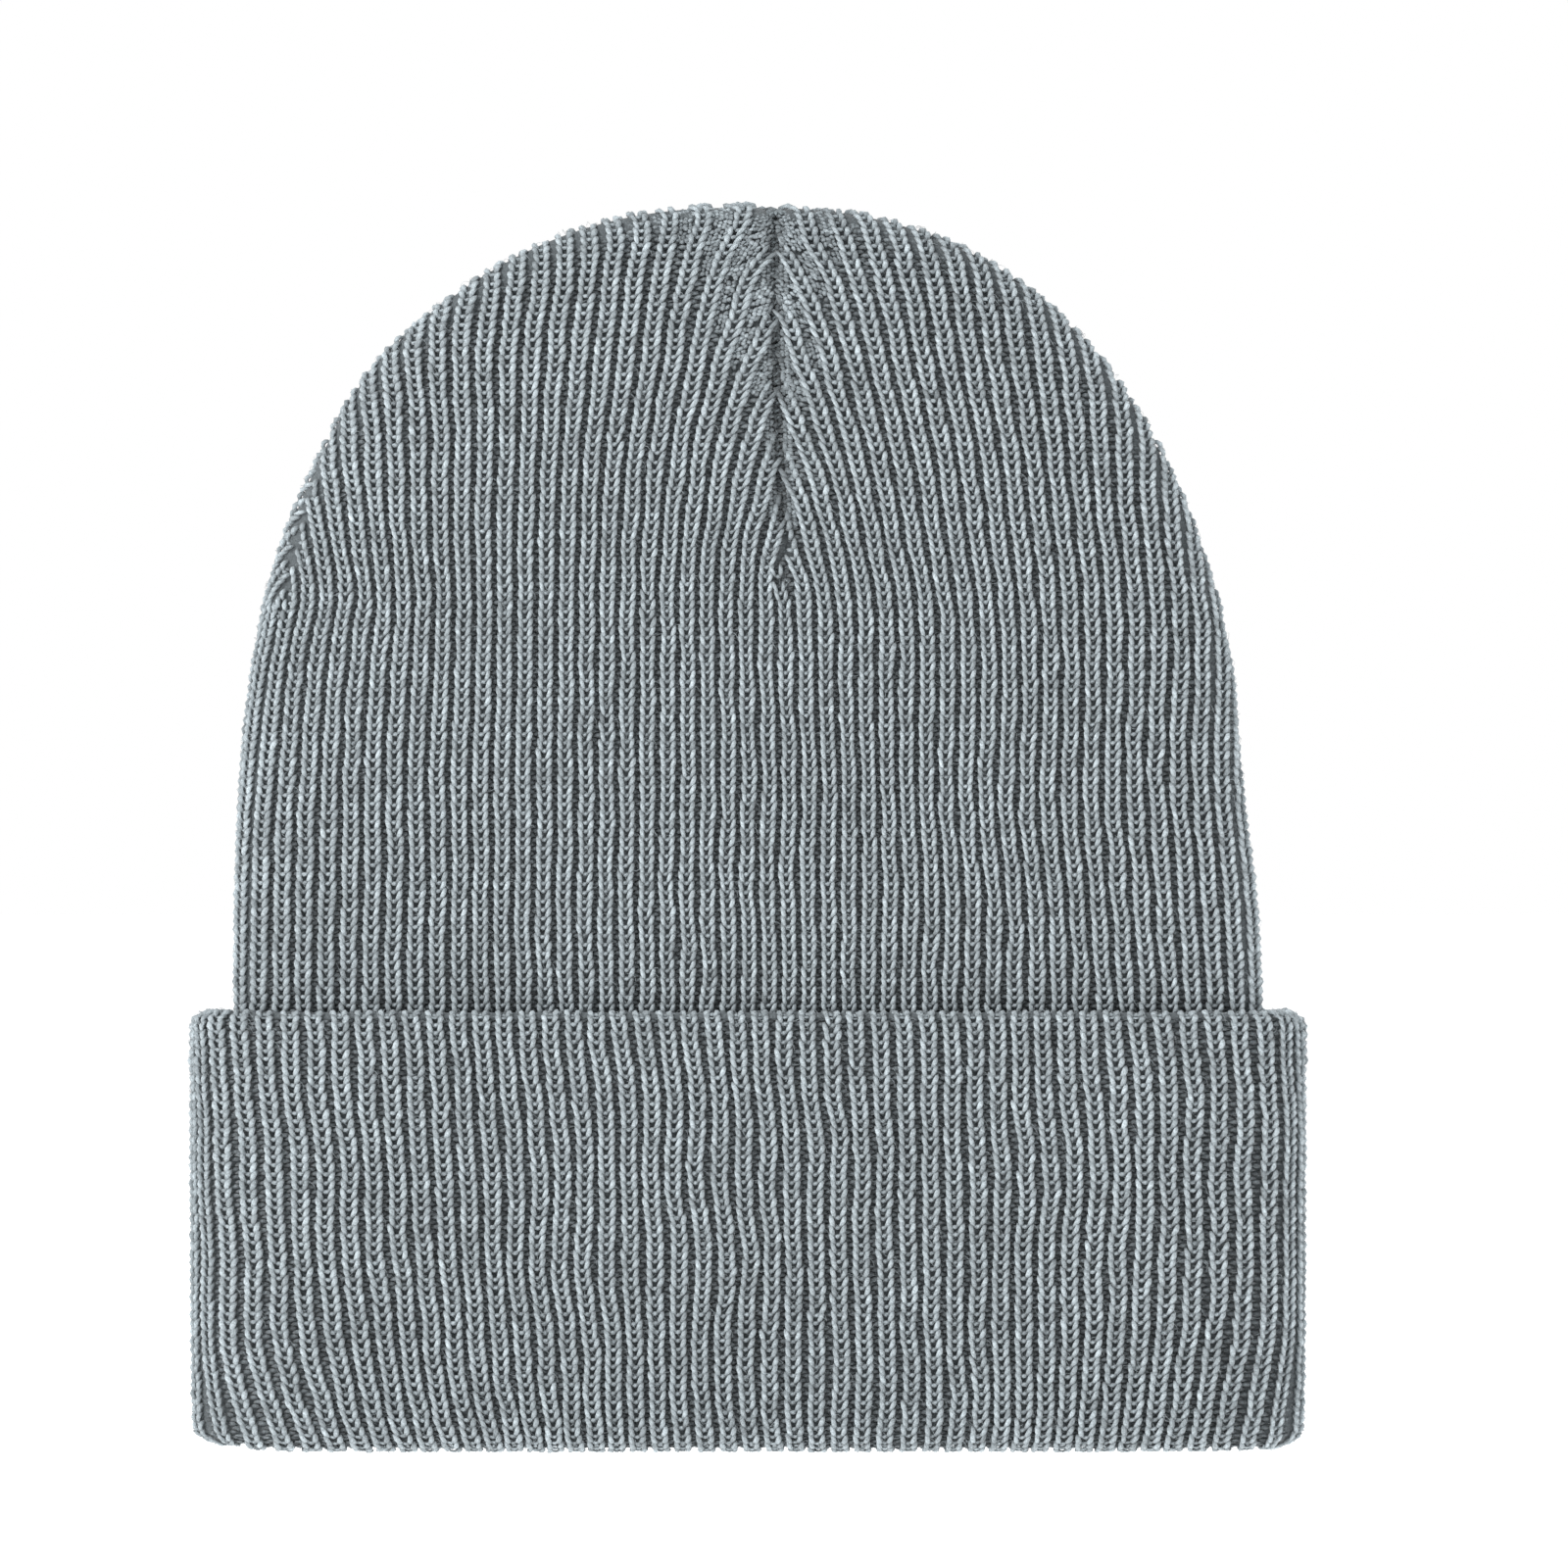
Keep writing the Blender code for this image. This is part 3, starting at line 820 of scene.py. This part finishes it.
def jittered_grid(low, high, wales, face):
    """Wale and height of every stitch between two heights, a little uneven."""
    rows = np.arange(math.ceil(low / COURSE), math.floor(high / COURSE) + 1) * COURSE
    wale, row = np.meshgrid(wales, rows)
    wale, row = wale.ravel(), row.ravel()
    row = row + 0.10 * wobble(FINE_WOBBLE, wale * 3.7 + 90 * face, row)
    row = row + spread(len(row), UNEVEN_ROW)
    return wale + spread(len(row), 0.014), row


def body_knit(yarn, face, low, high, wales, gore=None):
    """Fills a band of the body with knit stitches: two legs and a crossing each."""
    wale, row = jittered_grid(low, high, wales, face)
    kinds = ((LEFT_LEG, -LEG_MIDDLE), (RIGHT_LEG, LEG_MIDDLE), (CROSSING, 0))
    for shape, middle in kinds:
        shown, pitch, distance = body_places(wale, row, middle, face, gore)
        w, r, pitch, distance = wale[shown], row[shown], pitch[shown], distance[shown]
        width = np.clip(pitch / WALE_PITCH, 0.75, 1.05) * (1 + spread(len(w), UNEVEN_WIDTH))
        tone_and_painted_light = (1 + spread(len(w), UNEVEN_SHADE)) * seam_shade(distance, r)
        lift = spread(len(w), UNEVEN_LIFT)
        size = 1 + spread(len(w), UNEVEN_SIZE)
        yarn.add(shape, body_corners(shape, w, r, face, width, size, lift, 0), tone_and_painted_light)
    shown = body_places(wale, row, 0, face, gore)[0] & (np.abs(wale) > OUTER_WALE)
    w, r = wale[shown], row[shown] + 0.45 * COURSE
    flat = np.ones(len(w))
    corners = body_corners(CROSSING, w, r, face, flat, flat, -0.15 * flat, 0)
    yarn.add(CROSSING, corners, 0.7 * flat)


def body_bumps(yarn, face, wale, row, gore):
    """Two purl bumps for each stitch of a valley between ribs that lie close."""
    for shape, beside in ((BUMPS[0], -0.4), (BUMPS[1], 0.4)):
        shown, pitch, distance = body_places(wale, row, beside, face, gore)
        shown &= pitch < OPEN_PITCH
        w, r, pitch, distance = wale[shown], row[shown], pitch[shown], distance[shown]
        open_valley = smoothstep(pitch, 4.2, 6.4)
        width = np.clip(pitch - 1.9, 1.2, 2.6)
        # painted shade: bumps in close valleys are darkened, less as the valley opens
        tone_and_painted_light = VALLEY_PAINTED_SHADE + (1 - VALLEY_PAINTED_SHADE) * open_valley
        tone_and_painted_light = tone_and_painted_light * (1 + spread(len(w), UNEVEN_PURL_SHADE)) * seam_shade(distance, r)
        lift = 0.60 * open_valley + spread(len(w), 0.09)
        size = 1 + spread(len(w), UNEVEN_SIZE)
        yarn.add(shape, body_corners(shape, w, r, face, width, size, lift, 0), tone_and_painted_light)


def open_grain(yarn, face, wale, row, beside, gore):
    """One column of short purl bumps, at a distance beside the middle of each open valley."""
    shown, pitch, distance = body_places(wale, row, beside, face, gore)
    shown &= (pitch >= OPEN_PITCH) & (abs(beside) < (pitch - 2.7) / 2)
    shown &= random.random(len(row)) < GRAINS_SHOWN
    kind = random.integers(0, len(GRAINS), len(row))
    for own, grain in enumerate(GRAINS):
        chosen = shown & (kind == own)
        w, r = wale[chosen], row[chosen]
        open_valley = smoothstep(pitch[chosen], 4.2, 6.4)
        # painted shade: the grain is darkened, less as the valley opens; the spread is random tone
        tone_and_painted_light = (GRAIN_PAINTED_SHADE + 0.34 * open_valley) * (1 + spread(len(w), 0.20))
        tone_and_painted_light = tone_and_painted_light * seam_shade(distance[chosen], r)
        lift = 0.60 * open_valley + spread(len(w), 0.12)
        size = 1 + spread(len(w), UNEVEN_SIZE)
        width = 1 + spread(len(w), 0.15)
        yarn.add(grain, body_corners(grain, w, r, face, width, size, lift, beside), tone_and_painted_light)


def body_purl(yarn, face, low, high, wales, gore=None):
    """Purl bumps between the knit wales, and a grain of short bumps where the wales spread."""
    wale, row = jittered_grid(low, high, wales - 0.5 * face, face)
    body_bumps(yarn, face, wale, row, gore)
    for column in range(-5, 6):
        for half in (-0.25, 0.25):
            level = row + half * COURSE + 0.2 * COURSE * (column % 2) + spread(len(row), 0.13)
            open_grain(yarn, face, wale, level, column * GRAIN_SPACING, gore)


def seam_grain(yarn, face, side):
    """Purl bumps down one side of the front or back seam, where the ribs run out into it."""
    for column in range(3):
        distance = 0.45 + 0.8 * column
        rows = np.arange(FRONT_DART_START + 3, CROWN_TOP - 0.5, 0.5 * COURSE)
        rows = rows + 0.2 * COURSE * column + spread(len(rows), 0.12)
        for own, grain in enumerate(GRAINS):
            row = rows[own::len(GRAINS)]
            v = grain["verts"]
            across = dart_x(row, face)[:, None] + side * distance + v[None, :, 0]
            up = row[:, None] + v[None, :, 1]
            place, normal, rim = body_surface(across, up, face)
            lift = 0.30 + spread(len(row), 0.10)
            height = v[None, :, 2] + lift[:, None] - body_ditch(distance, rim, up)
            # painted shade: the bumps are darkened, and more close to the seam; the spread is random
            # tone
            tone_and_painted_light = 0.72 * (1 + spread(len(row), 0.15)) * seam_shade(distance, row)
            yarn.add(grain, place + normal * height[:, :, None], tone_and_painted_light)


def body_sheet(name, face):
    """The ground cloth behind the stitches of one face, from behind the cuff to the crown's top."""
    rows = np.concatenate([
        np.arange(BODY_FLOOR - 2, 205, 3.0),
        CROWN_TOP + BODY_EXTRA - 0.02 - (CROWN_TOP + BODY_EXTRA - 205) * np.linspace(1, 0, 60) ** 2,
    ])
    columns = np.sin(np.linspace(-math.pi / 2, math.pi / 2, 161))
    columns = 0.5 * columns + 0.5 * np.linspace(-1, 1, 161)
    half = np.interp(rows, WIDTH_HEIGHTS, WIDTH_TABLE) + 0.5
    across = half[:, None] * columns[None, :]
    up = np.repeat(rows[:, None], len(columns), 1)
    place, normal, distance = body_surface(across, up, face)
    seam = np.abs(across - dart_x(up, face))
    depth = ground_depth(distance) + body_ditch(seam, 50.0, up)
    points = place - normal * depth[:, :, None]
    # painted shade: the ground cloth is darkened, and more where it dives into the seam
    tone_and_painted_light = GROUND_PAINTED_SHADE * seam_shade(seam, up)
    if face > 0:
        points, tone_and_painted_light = points[:, ::-1], tone_and_painted_light[:, ::-1]
    return sheet(name, points, tone_and_painted_light, GROUND)


def make_body():
    """The body tube's knit in strips of wales, and the crown's four gores."""
    for face, face_name in FACES:
        for part, wales in enumerate(strips()):
            yarn = Yarn()
            body_knit(yarn, face, BODY_FLOOR, DART_BASE, wales)
            body_purl(yarn, face, BODY_FLOOR, DART_BASE, wales)
            piece = yarn.build(f"body_knit_{face_name}_{part + 1}", YARN)
            put_on_hat(piece, "rib_knit", "body_tube")
        for side, side_name in SIDES:
            wales = np.arange(-28, 29)
            knit, purl = Yarn(), Yarn()
            body_knit(knit, face, DART_BASE + 0.1, CROWN_TOP + 3, wales, side)
            body_purl(purl, face, DART_BASE + 0.1, CROWN_TOP + 3, wales, side)
            seam_grain(purl, face, side)
            for made, stitch in ((knit, "knit"), (purl, "purl")):
                piece = made.build(f"crown_{stitch}_{face_name}_{side_name}", YARN)
                put_on_hat(piece, "rib_knit", f"crown_gore_{face_name}_{side_name}")
        put_on_hat(body_sheet(f"body_ground_{face_name}", face), "rib_knit")


# ---- cuff

def rounded(distance, radius):
    """How far a rounded corner draws in at a distance from its flat end."""
    t = np.clip(1 - distance / radius, 0, 1)
    return radius * (1 - np.sqrt(1 - t * t))


class CuffPath:
    """The cuff's cloth from its free edge, down the outside, round the fold and up the inside.

    A place along it is a length, measured down from the free edge's top."""

    def __init__(self):
        edge_height = CUFF_TOP - EDGE_RADIUS - 0.35
        fold_height = FOLD_RADIUS + FOLD_LIFT
        curl = np.linspace(math.radians(EDGE_CURL), 0, 24)
        down = np.linspace(edge_height, fold_height, 60)[1:]
        turn = np.linspace(0, math.pi, 30)[1:]
        up = np.linspace(fold_height, INNER_TOP, 40)[1:]
        self.z = np.concatenate([
            edge_height + EDGE_RADIUS * np.sin(curl), down,
            fold_height - FOLD_RADIUS * np.sin(turn), up,
        ])
        self.off = np.concatenate([
            EDGE_RADIUS * (1 - np.cos(curl)), 0 * down,
            FOLD_RADIUS * (1 - np.cos(turn)), 0 * up + 2 * FOLD_RADIUS,
        ])
        self.lean = np.concatenate([curl, 0 * down, -turn, 0 * up - math.pi])
        steps = np.hypot(np.diff(self.z), np.diff(self.off))
        self.length = np.concatenate([[0], np.cumsum(steps)])
        outer = CUFF_HALF - rounded(self.z, BOTTOM_CORNER) - rounded(CUFF_TOP - self.z, TOP_CORNER)
        share = self.off / (2 * FOLD_RADIUS)
        self.half = outer * (1 - share) + INNER_HALF * share
        fold_start = float(self.length[len(curl) + len(down) - 1])
        self.fold_middle = fold_start + FOLD_RADIUS * math.pi / 2
        self.total = float(self.length[-1])

    def at(self, along):
        """Height, distance in from the cuff's outside, lean and half width at a length down."""
        rows = (self.z, self.off, self.lean, self.half)
        return [np.interp(along, self.length, values) for values in rows]


cuff_path = CuffPath()


def cuff_across(wale):
    """A wale's place across the cuff's unrolled cloth."""
    flat = CUFF_UNROLLED - CUFF_WRAP
    share = np.abs(wale) / CUFF_FLAT_WALE
    inside = flat * ((1 - CUFF_SPREADING) * share + CUFF_SPREADING * share ** 5)
    beyond = flat + CUFF_WRAP * (np.abs(wale) - CUFF_FLAT_WALE) / (WALES / 2 - CUFF_FLAT_WALE)
    return np.sign(wale) * np.where(share < 1, inside, beyond)


def cuff_drift(across, along, z, unrolled, face):
    """Where a place across the cuff ends up as its wales fan in, lean and wander."""
    edge = np.maximum(CUFF_UNROLLED - np.abs(across), 0)
    free = 1 - np.exp(-edge / 6.0)
    outside = 1 - smoothstep(along, cuff_path.fold_middle + 1, cuff_path.fold_middle + 12)
    rough = 0.34 * wobble(CUFF_WOBBLE, across + 60 * face, along)
    rough = rough + 0.11 * wobble(CUFF_FINE_WOBBLE, across + 60 * face, along)
    narrower = (CUFF_UNROLLED - unrolled) * np.exp(-edge / 10.0)
    fan = 0
    for own_side, (fan_width, start, end) in CORNER_FANS.items():
        reach = 1 - smoothstep(edge, start, end)
        own = fan_width * np.exp(-z / CORNER_FAN_HEIGHT) * reach
        fan = np.where(own_side * across > 0, own, fan)
    inwards = narrower + np.maximum(fan * outside - narrower, 0) * free
    slant = CUFF_SLANT * (z - 20) * (1 - smoothstep(across, -30, 60)) * free * outside
    turned = CUFF_TURN * np.maximum(z - 57, 0) * outside
    side = np.where(across < 0, -1.0, 1.0)
    return across - side * inwards - slant + face * turned + rough * free


def cuff_surface(wale, shift, along, face):
    """Places points of the cuff: a wale's number, a distance beside it, and a length down it."""
    z, off, lean, half = cuff_path.at(along)
    share = np.clip(off / (2 * FOLD_RADIUS), 0, 1)
    depth = CUFF_DEPTH - off
    arc = CUFF_ARC[-1] * (1 - share) + INNER_ARC[-1] * share
    unrolled = half - RIM + arc
    across = cuff_drift(cuff_across(wale), along, z, unrolled, face) + shift
    side = np.where(across < 0, -1.0, 1.0)
    distance = unrolled - np.abs(across)
    far = np.abs(distance)
    angle = np.interp(far * CUFF_ARC[-1] / arc, CUFF_ARC, RIM_ANGLE)
    inward = np.where(far < arc, RIM * (1 - np.cos(angle)), RIM + far - arc)
    turn = face * np.where(distance < 0, -1.0, 1.0)
    corner = np.exp(-z / 6.0) * (1 - smoothstep(inward, 0, CORNER_LIFT_REACH))
    lift = corner * np.where(side < 0, CORNER_LIFT[-1], CORNER_LIFT[1])
    place = np.stack([side * (half - inward), depth * np.sin(angle) * turn, z + lift], -1)
    out, flat = depth * np.cos(angle), RIM * np.sin(angle)
    level = np.cos(lean) / np.hypot(out, flat)
    normal = np.stack([side * out * level, turn * flat * level, np.sin(lean)], -1)
    return place, normal, distance


def fold_nearness(along):
    """1 in the middle of the fold, falling to 0 a few rows away from it."""
    return np.exp(-((along - cuff_path.fold_middle) / FOLD_REACH) ** 2)


def cuff_corners(shape, wale, along, face, width, size, lift):
    """Places copies of a stitch shape on the cuff."""
    v = shape["verts"]
    down = along[:, None] - v[None, :, 1]
    place, normal, _ = cuff_surface(wale[:, None], v[None, :, 0] * width[:, None], down, face)
    height = v[None, :, 2] * size[:, None] + lift[:, None]
    return place + normal * height[:, :, None]


def cuff_stitches(yarn, face, start, end, wales):
    """Fills a stretch of the cuff with knit stitches, and the valleys between with purl bumps."""
    rows = np.arange(math.ceil(start / COURSE), math.ceil(end / COURSE)) * COURSE
    wale, along = np.meshgrid(wales.astype(float), rows)
    wale, along = wale.ravel(), along.ravel()
    along = along + 0.14 * wobble(CUFF_FINE_WOBBLE, wale * 4.2 + 90 * face, along)
    along = np.maximum(along + spread(len(along), UNEVEN_ROW), 0.2)
    wale = wale + spread(len(wale), 0.016)
    for shape in (LEFT_LEG, RIGHT_LEG, CROSSING) + BUMPS:
        nudge = -0.5 * face if is_bump(shape) else 0
        pitch = cuff_across(wale + nudge + 0.5) - cuff_across(wale + nudge - 0.5)
        if is_bump(shape):
            width = np.clip(pitch - 2.0, 1.2, 2.8)
            # painted shade on the purl bumps down between the ribs
            tone_and_painted_light = CUFF_VALLEY_PAINTED_SHADE * (1 + spread(len(wale), UNEVEN_PURL_SHADE))
        else:
            width = np.clip(pitch / WALE_PITCH, 0.85, 1.05)
            width = width * (1 + spread(len(wale), UNEVEN_WIDTH))
            tone_and_painted_light = 1.02 + spread(len(wale), UNEVEN_SHADE)
        at_fold = fold_nearness(along)
        size = (1 + spread(len(wale), UNEVEN_SIZE)) * (1 - FOLD_FLATTENING * at_fold)
        lift = spread(len(wale), UNEVEN_LIFT)
        if shape is CROSSING:
            lift = lift + FOLD_FILLING * at_fold
        if is_bump(shape):
            side = side_rise(CUFF_UNROLLED - np.abs(cuff_across(wale + nudge)))
            lift = lift + side
            low = np.exp(-np.abs(along - cuff_path.fold_middle) / CORNER_FAN_HEIGHT)
            width = width * (1 + side * low)
        corners = cuff_corners(shape, wale + nudge, along, face, width, size, lift)
        shown = (along > 2.8) | (nudge == 0)
        yarn.add(shape, corners[shown], tone_and_painted_light[shown])
    shown = np.abs(wale) > OUTER_WALE
    w, a = wale[shown], along[shown] - 0.45 * COURSE
    flat = np.ones(len(w))
    corners = cuff_corners(CROSSING, w, np.maximum(a, 0.2), face, flat, flat, -0.15 * flat)
    yarn.add(CROSSING, corners, 0.7 * flat)


def cuff_sheet(name, face, start, end):
    """The ground cloth behind the cuff's stitches on one face."""
    rows = np.linspace(start, end, int((end - start) / 1.2) + 2)
    wales = np.linspace(-WALES / 2 - 0.15, WALES / 2 + 0.15, 183)
    wale, along = np.meshgrid(wales, rows)
    place, normal, distance = cuff_surface(wale, 0 * wale, along, face)
    depth = ground_depth(distance) * np.where(along < 3.5, along / 3.5, 1.0)
    depth = depth * (1 - FOLD_FLATTENING * fold_nearness(along))
    inner_start = cuff_path.fold_middle + 18
    depth = depth * (1 - 0.8 * smoothstep(along, inner_start, inner_start + 8))
    points = place - normal * depth[:, :, None]
    if face < 0:
        points = points[:, ::-1]
    # painted shade: the ground cloth is darkened evenly
    return sheet(name, points, np.full(points.shape[:2], GROUND_PAINTED_SHADE), GROUND)


def make_cuff():
    """The cuff's outside, in strips of wales, and the layer that lies inside the hat."""
    middle = cuff_path.fold_middle
    for face, face_name in FACES:
        for part, wales in enumerate(strips()):
            yarn = Yarn()
            cuff_stitches(yarn, face, 0.0, middle, wales)
            piece = yarn.build(f"cuff_knit_{face_name}_{part + 1}", YARN)
            put_between(piece, CUFF_BLEND, "cuff_fold", "cuff_roll", "cuff_band", "cuff_edge")
        yarn = Yarn()
        cuff_stitches(yarn, face, middle, middle + INNER_KNIT, np.arange(-24, 25))
        piece = yarn.build(f"inner_knit_{face_name}", YARN)
        put_between(piece, INNER_BLEND, "inner_roll", "inner_band")
        outer = cuff_sheet(f"cuff_ground_{face_name}", face, 0.0, middle + 0.6)
        put_between(outer, CUFF_BLEND)
        inner = cuff_sheet(f"inner_ground_{face_name}", face, middle - 0.6, cuff_path.total)
        put_between(inner, INNER_BLEND)


# ---- seams

def seam_stitches(name, node, face, across, up):
    """Thread that crosses a dart's ditch, one short stitch after another."""
    path = [(-0.7, -0.4, -0.2), (-0.5, -0.3, 0), (0, 0, 0.15), (0.5, 0.3, 0), (0.7, 0.4, -0.2)]
    shape = tube(path, [0.1, 0.20, 0.22, 0.20, 0.1], THREAD_SIDES)
    v = shape["verts"]
    place, normal, _ = body_surface(
        across[:, None] + v[None, :, 0], up[:, None] + v[None, :, 1], face
    )
    yarn = Yarn()
    corners = place + normal * (v[None, :, 2] - THREAD_DEPTH)[:, :, None]
    yarn.add(shape, corners, 1 + spread(len(across), 0.06))
    put_on_hat(yarn.build(name, THREAD), "seam_thread", node)


def make_seams():
    """The four darts' seams, and the tack that closes the point where they meet."""
    for face, name in FACES:
        up = np.arange(FRONT_DART_START + 2, CROWN_TOP, THREAD_STEP)
        seam_stitches(f"dart_thread_{name}", f"dart_seam_{name}", face, dart_x(up, face), up)
    for side, name in SIDES:
        up = np.arange(DART_BASE + 2, CROWN_TOP - 1.0, THREAD_STEP)
        across = side * np.interp(up, WIDTH_HEIGHTS, WIDTH_TABLE)
        seam_stitches(f"dart_thread_{name}", f"dart_seam_{name}", -1, across, up)
    path = [(-2.2, 0, -0.6), (-1.9, 0, -0.2), (0, 0, 0.25), (1.9, 0, -0.2), (2.2, 0, -0.6)]
    tack = tube(path, [0.1, 0.30, 0.32, 0.30, 0.1], THREAD_SIDES)
    v = tack["verts"]
    corners = np.zeros((TACK_THREADS, len(v), 3))
    for i in range(TACK_THREADS):
        angle = math.pi * i / TACK_THREADS
        corners[i, :, 0] = APEX_X + v[:, 0] * math.cos(angle) - v[:, 1] * math.sin(angle)
        corners[i, :, 1] = v[:, 0] * math.sin(angle) + v[:, 1] * math.cos(angle)
        corners[i, :, 2] = CROWN_TOP - 2.2 + v[:, 2] + 0.12 * i
    yarn = Yarn()
    yarn.add(tack, corners, 1 + spread(TACK_THREADS, 0.06))
    put_on_hat(yarn.build("crown_tack_thread", THREAD), "seam_thread", "crown_tack")


# ---- stray fibres

def stray_fibre(angle, curl, length):
    """One loose fibre that arches a little way out of the yarn."""
    points, radii = [], []
    for t in (0.0, 0.04, 0.35, 0.68, 0.97, 1.0):
        turned = angle + curl * t
        points.append((
            length * t * math.cos(turned), length * t * math.sin(turned),
            -0.30 + 0.72 * math.sin(math.pi * min(t * 1.15, 1.0)),
        ))
        radii.append(FIBRE_RADIUS)
    return tube(points, radii, 3)


FIBRE_SHAPES = [
    stray_fibre(random.uniform(0, 2 * math.pi), random.uniform(-1.6, 1.6), random.uniform(0.9, 2.4))
    for _ in range(FIBRE_KINDS)
]


def fibre_wales(count):
    """Places across the cloth for fibres: near the middles of the knit wales."""
    return np.round(random.uniform(-24.4, 24.4, count)) + random.uniform(-0.3, 0.3, count)


def make_fibres():
    """Fuzz: loose fibres all over the knit."""
    share = FIBRES // len(FIBRE_SHAPES)
    flat = np.ones(share)
    for face, face_name in FACES:
        body, cuff = Yarn(), Yarn()
        for shape in FIBRE_SHAPES:
            wale = fibre_wales(share)
            row = random.uniform(DART_BASE - FIBRES_LOW, CROWN_TOP - 1, share)
            shown = body_places(wale, row, 0, face)[0]
            w, r, size = wale[shown], row[shown], flat[shown]
            lift = spread(len(w), UNEVEN_LIFT)
            corners = body_corners(shape, w, r, face, size, size, lift, 0)
            # painted sheen: the fibres are lighter than the yarn; the spread is random tone
            body.add(shape, corners, FIBRE_PAINTED_SHEEN + spread(len(w), 0.15))
            wale = fibre_wales(share)
            along = random.uniform(1.0, cuff_path.fold_middle, share)
            lift = spread(share, UNEVEN_LIFT)
            corners = cuff_corners(shape, wale, along, face, flat, flat, lift)
            cuff.add(shape, corners, FIBRE_PAINTED_SHEEN + spread(share, 0.15))
        put_on_hat(body.build(f"body_fibres_{face_name}", YARN), "rib_knit")
        put_between(cuff.build(f"cuff_fibres_{face_name}", YARN), CUFF_BLEND)


# ---- stage

def make_floor():
    """A pale floor under the hat."""
    corners = [(-1, -1), (1, -1), (1, 1), (-1, 1)]
    mesh = bpy.data.meshes.new("floor")
    mesh.from_pydata(
        [(x * FLOOR_REACH, y * FLOOR_REACH, FLOOR_HEIGHT) for x, y in corners], [], [(0, 1, 2, 3)]
    )
    paint = bpy.data.materials.new("floor_white")
    paint.use_nodes = True
    tree = paint.node_tree
    set_inputs(tree, tree.nodes["Principled BSDF"], {
        "Base Color": (0.93, 0.93, 0.93, 1), "Roughness": 1.0, "Specular IOR Level": 0.0,
        "Emission Color": (1, 1, 1, 1), "Emission Strength": FLOOR_GLOW,
    })
    link("floor", mesh, paint)


def make_world():
    """A surround that the camera sees as white, and that lights the hat more softly."""
    world = bpy.data.worlds.new("studio")
    world.use_nodes = True
    tree = world.node_tree
    tree.nodes.clear()
    seen_directly = add_node(tree, "ShaderNodeLightPath", {})["Is Camera Ray"]
    lit = {"Color": SKY_COLOUR, "Strength": SKY_STRENGTH}
    seen = {"Color": (1, 1, 1, 1), "Strength": 1.0}
    sides = [add_node(tree, "ShaderNodeBackground", inputs)[0] for inputs in (lit, seen)]
    choice = {"Fac": seen_directly, 1: sides[0], 2: sides[1]}
    mixed = add_node(tree, "ShaderNodeMixShader", choice)[0]
    add_node(tree, "ShaderNodeOutputWorld", {"Surface": mixed})
    bpy.context.scene.world = world


def make_light(name, place):
    """A soft round light, turned to the hat."""
    data = bpy.data.lights.new(name, "AREA")
    data.shape = "DISK"
    data.size = LIGHT_SIZE
    data.energy = LIGHT_POWER
    light = bpy.data.objects.new(name, data)
    bpy.context.scene.collection.objects.link(light)
    light.location = place
    aim = -light.location
    aim.z += LIGHT_AIM
    light.rotation_mode = "QUATERNION"
    light.rotation_quaternion = aim.to_track_quat("-Z", "Y")


def make_camera():
    """A long lens, square to the front."""
    data = bpy.data.cameras.new("camera")
    data.sensor_width = SENSOR_WIDTH
    data.lens = SENSOR_WIDTH * CAMERA_DISTANCE / FRAME_WIDTH
    data.clip_start, data.clip_end = 0.05, 60
    camera = bpy.data.objects.new("camera", data)
    bpy.context.scene.collection.objects.link(camera)
    camera.location = (CAMERA_CENTRE[0], -CAMERA_DISTANCE, CAMERA_CENTRE[1])
    camera.rotation_euler = (math.pi / 2, 0, 0)
    bpy.context.scene.camera = camera


make_body()
make_cuff()
make_seams()
make_fibres()
bpy.context.scene.view_settings.view_transform = "Standard"
make_floor()
make_world()
for light_name, light_place in LIGHT_PLACES.items():
    make_light(light_name, light_place)
make_camera()
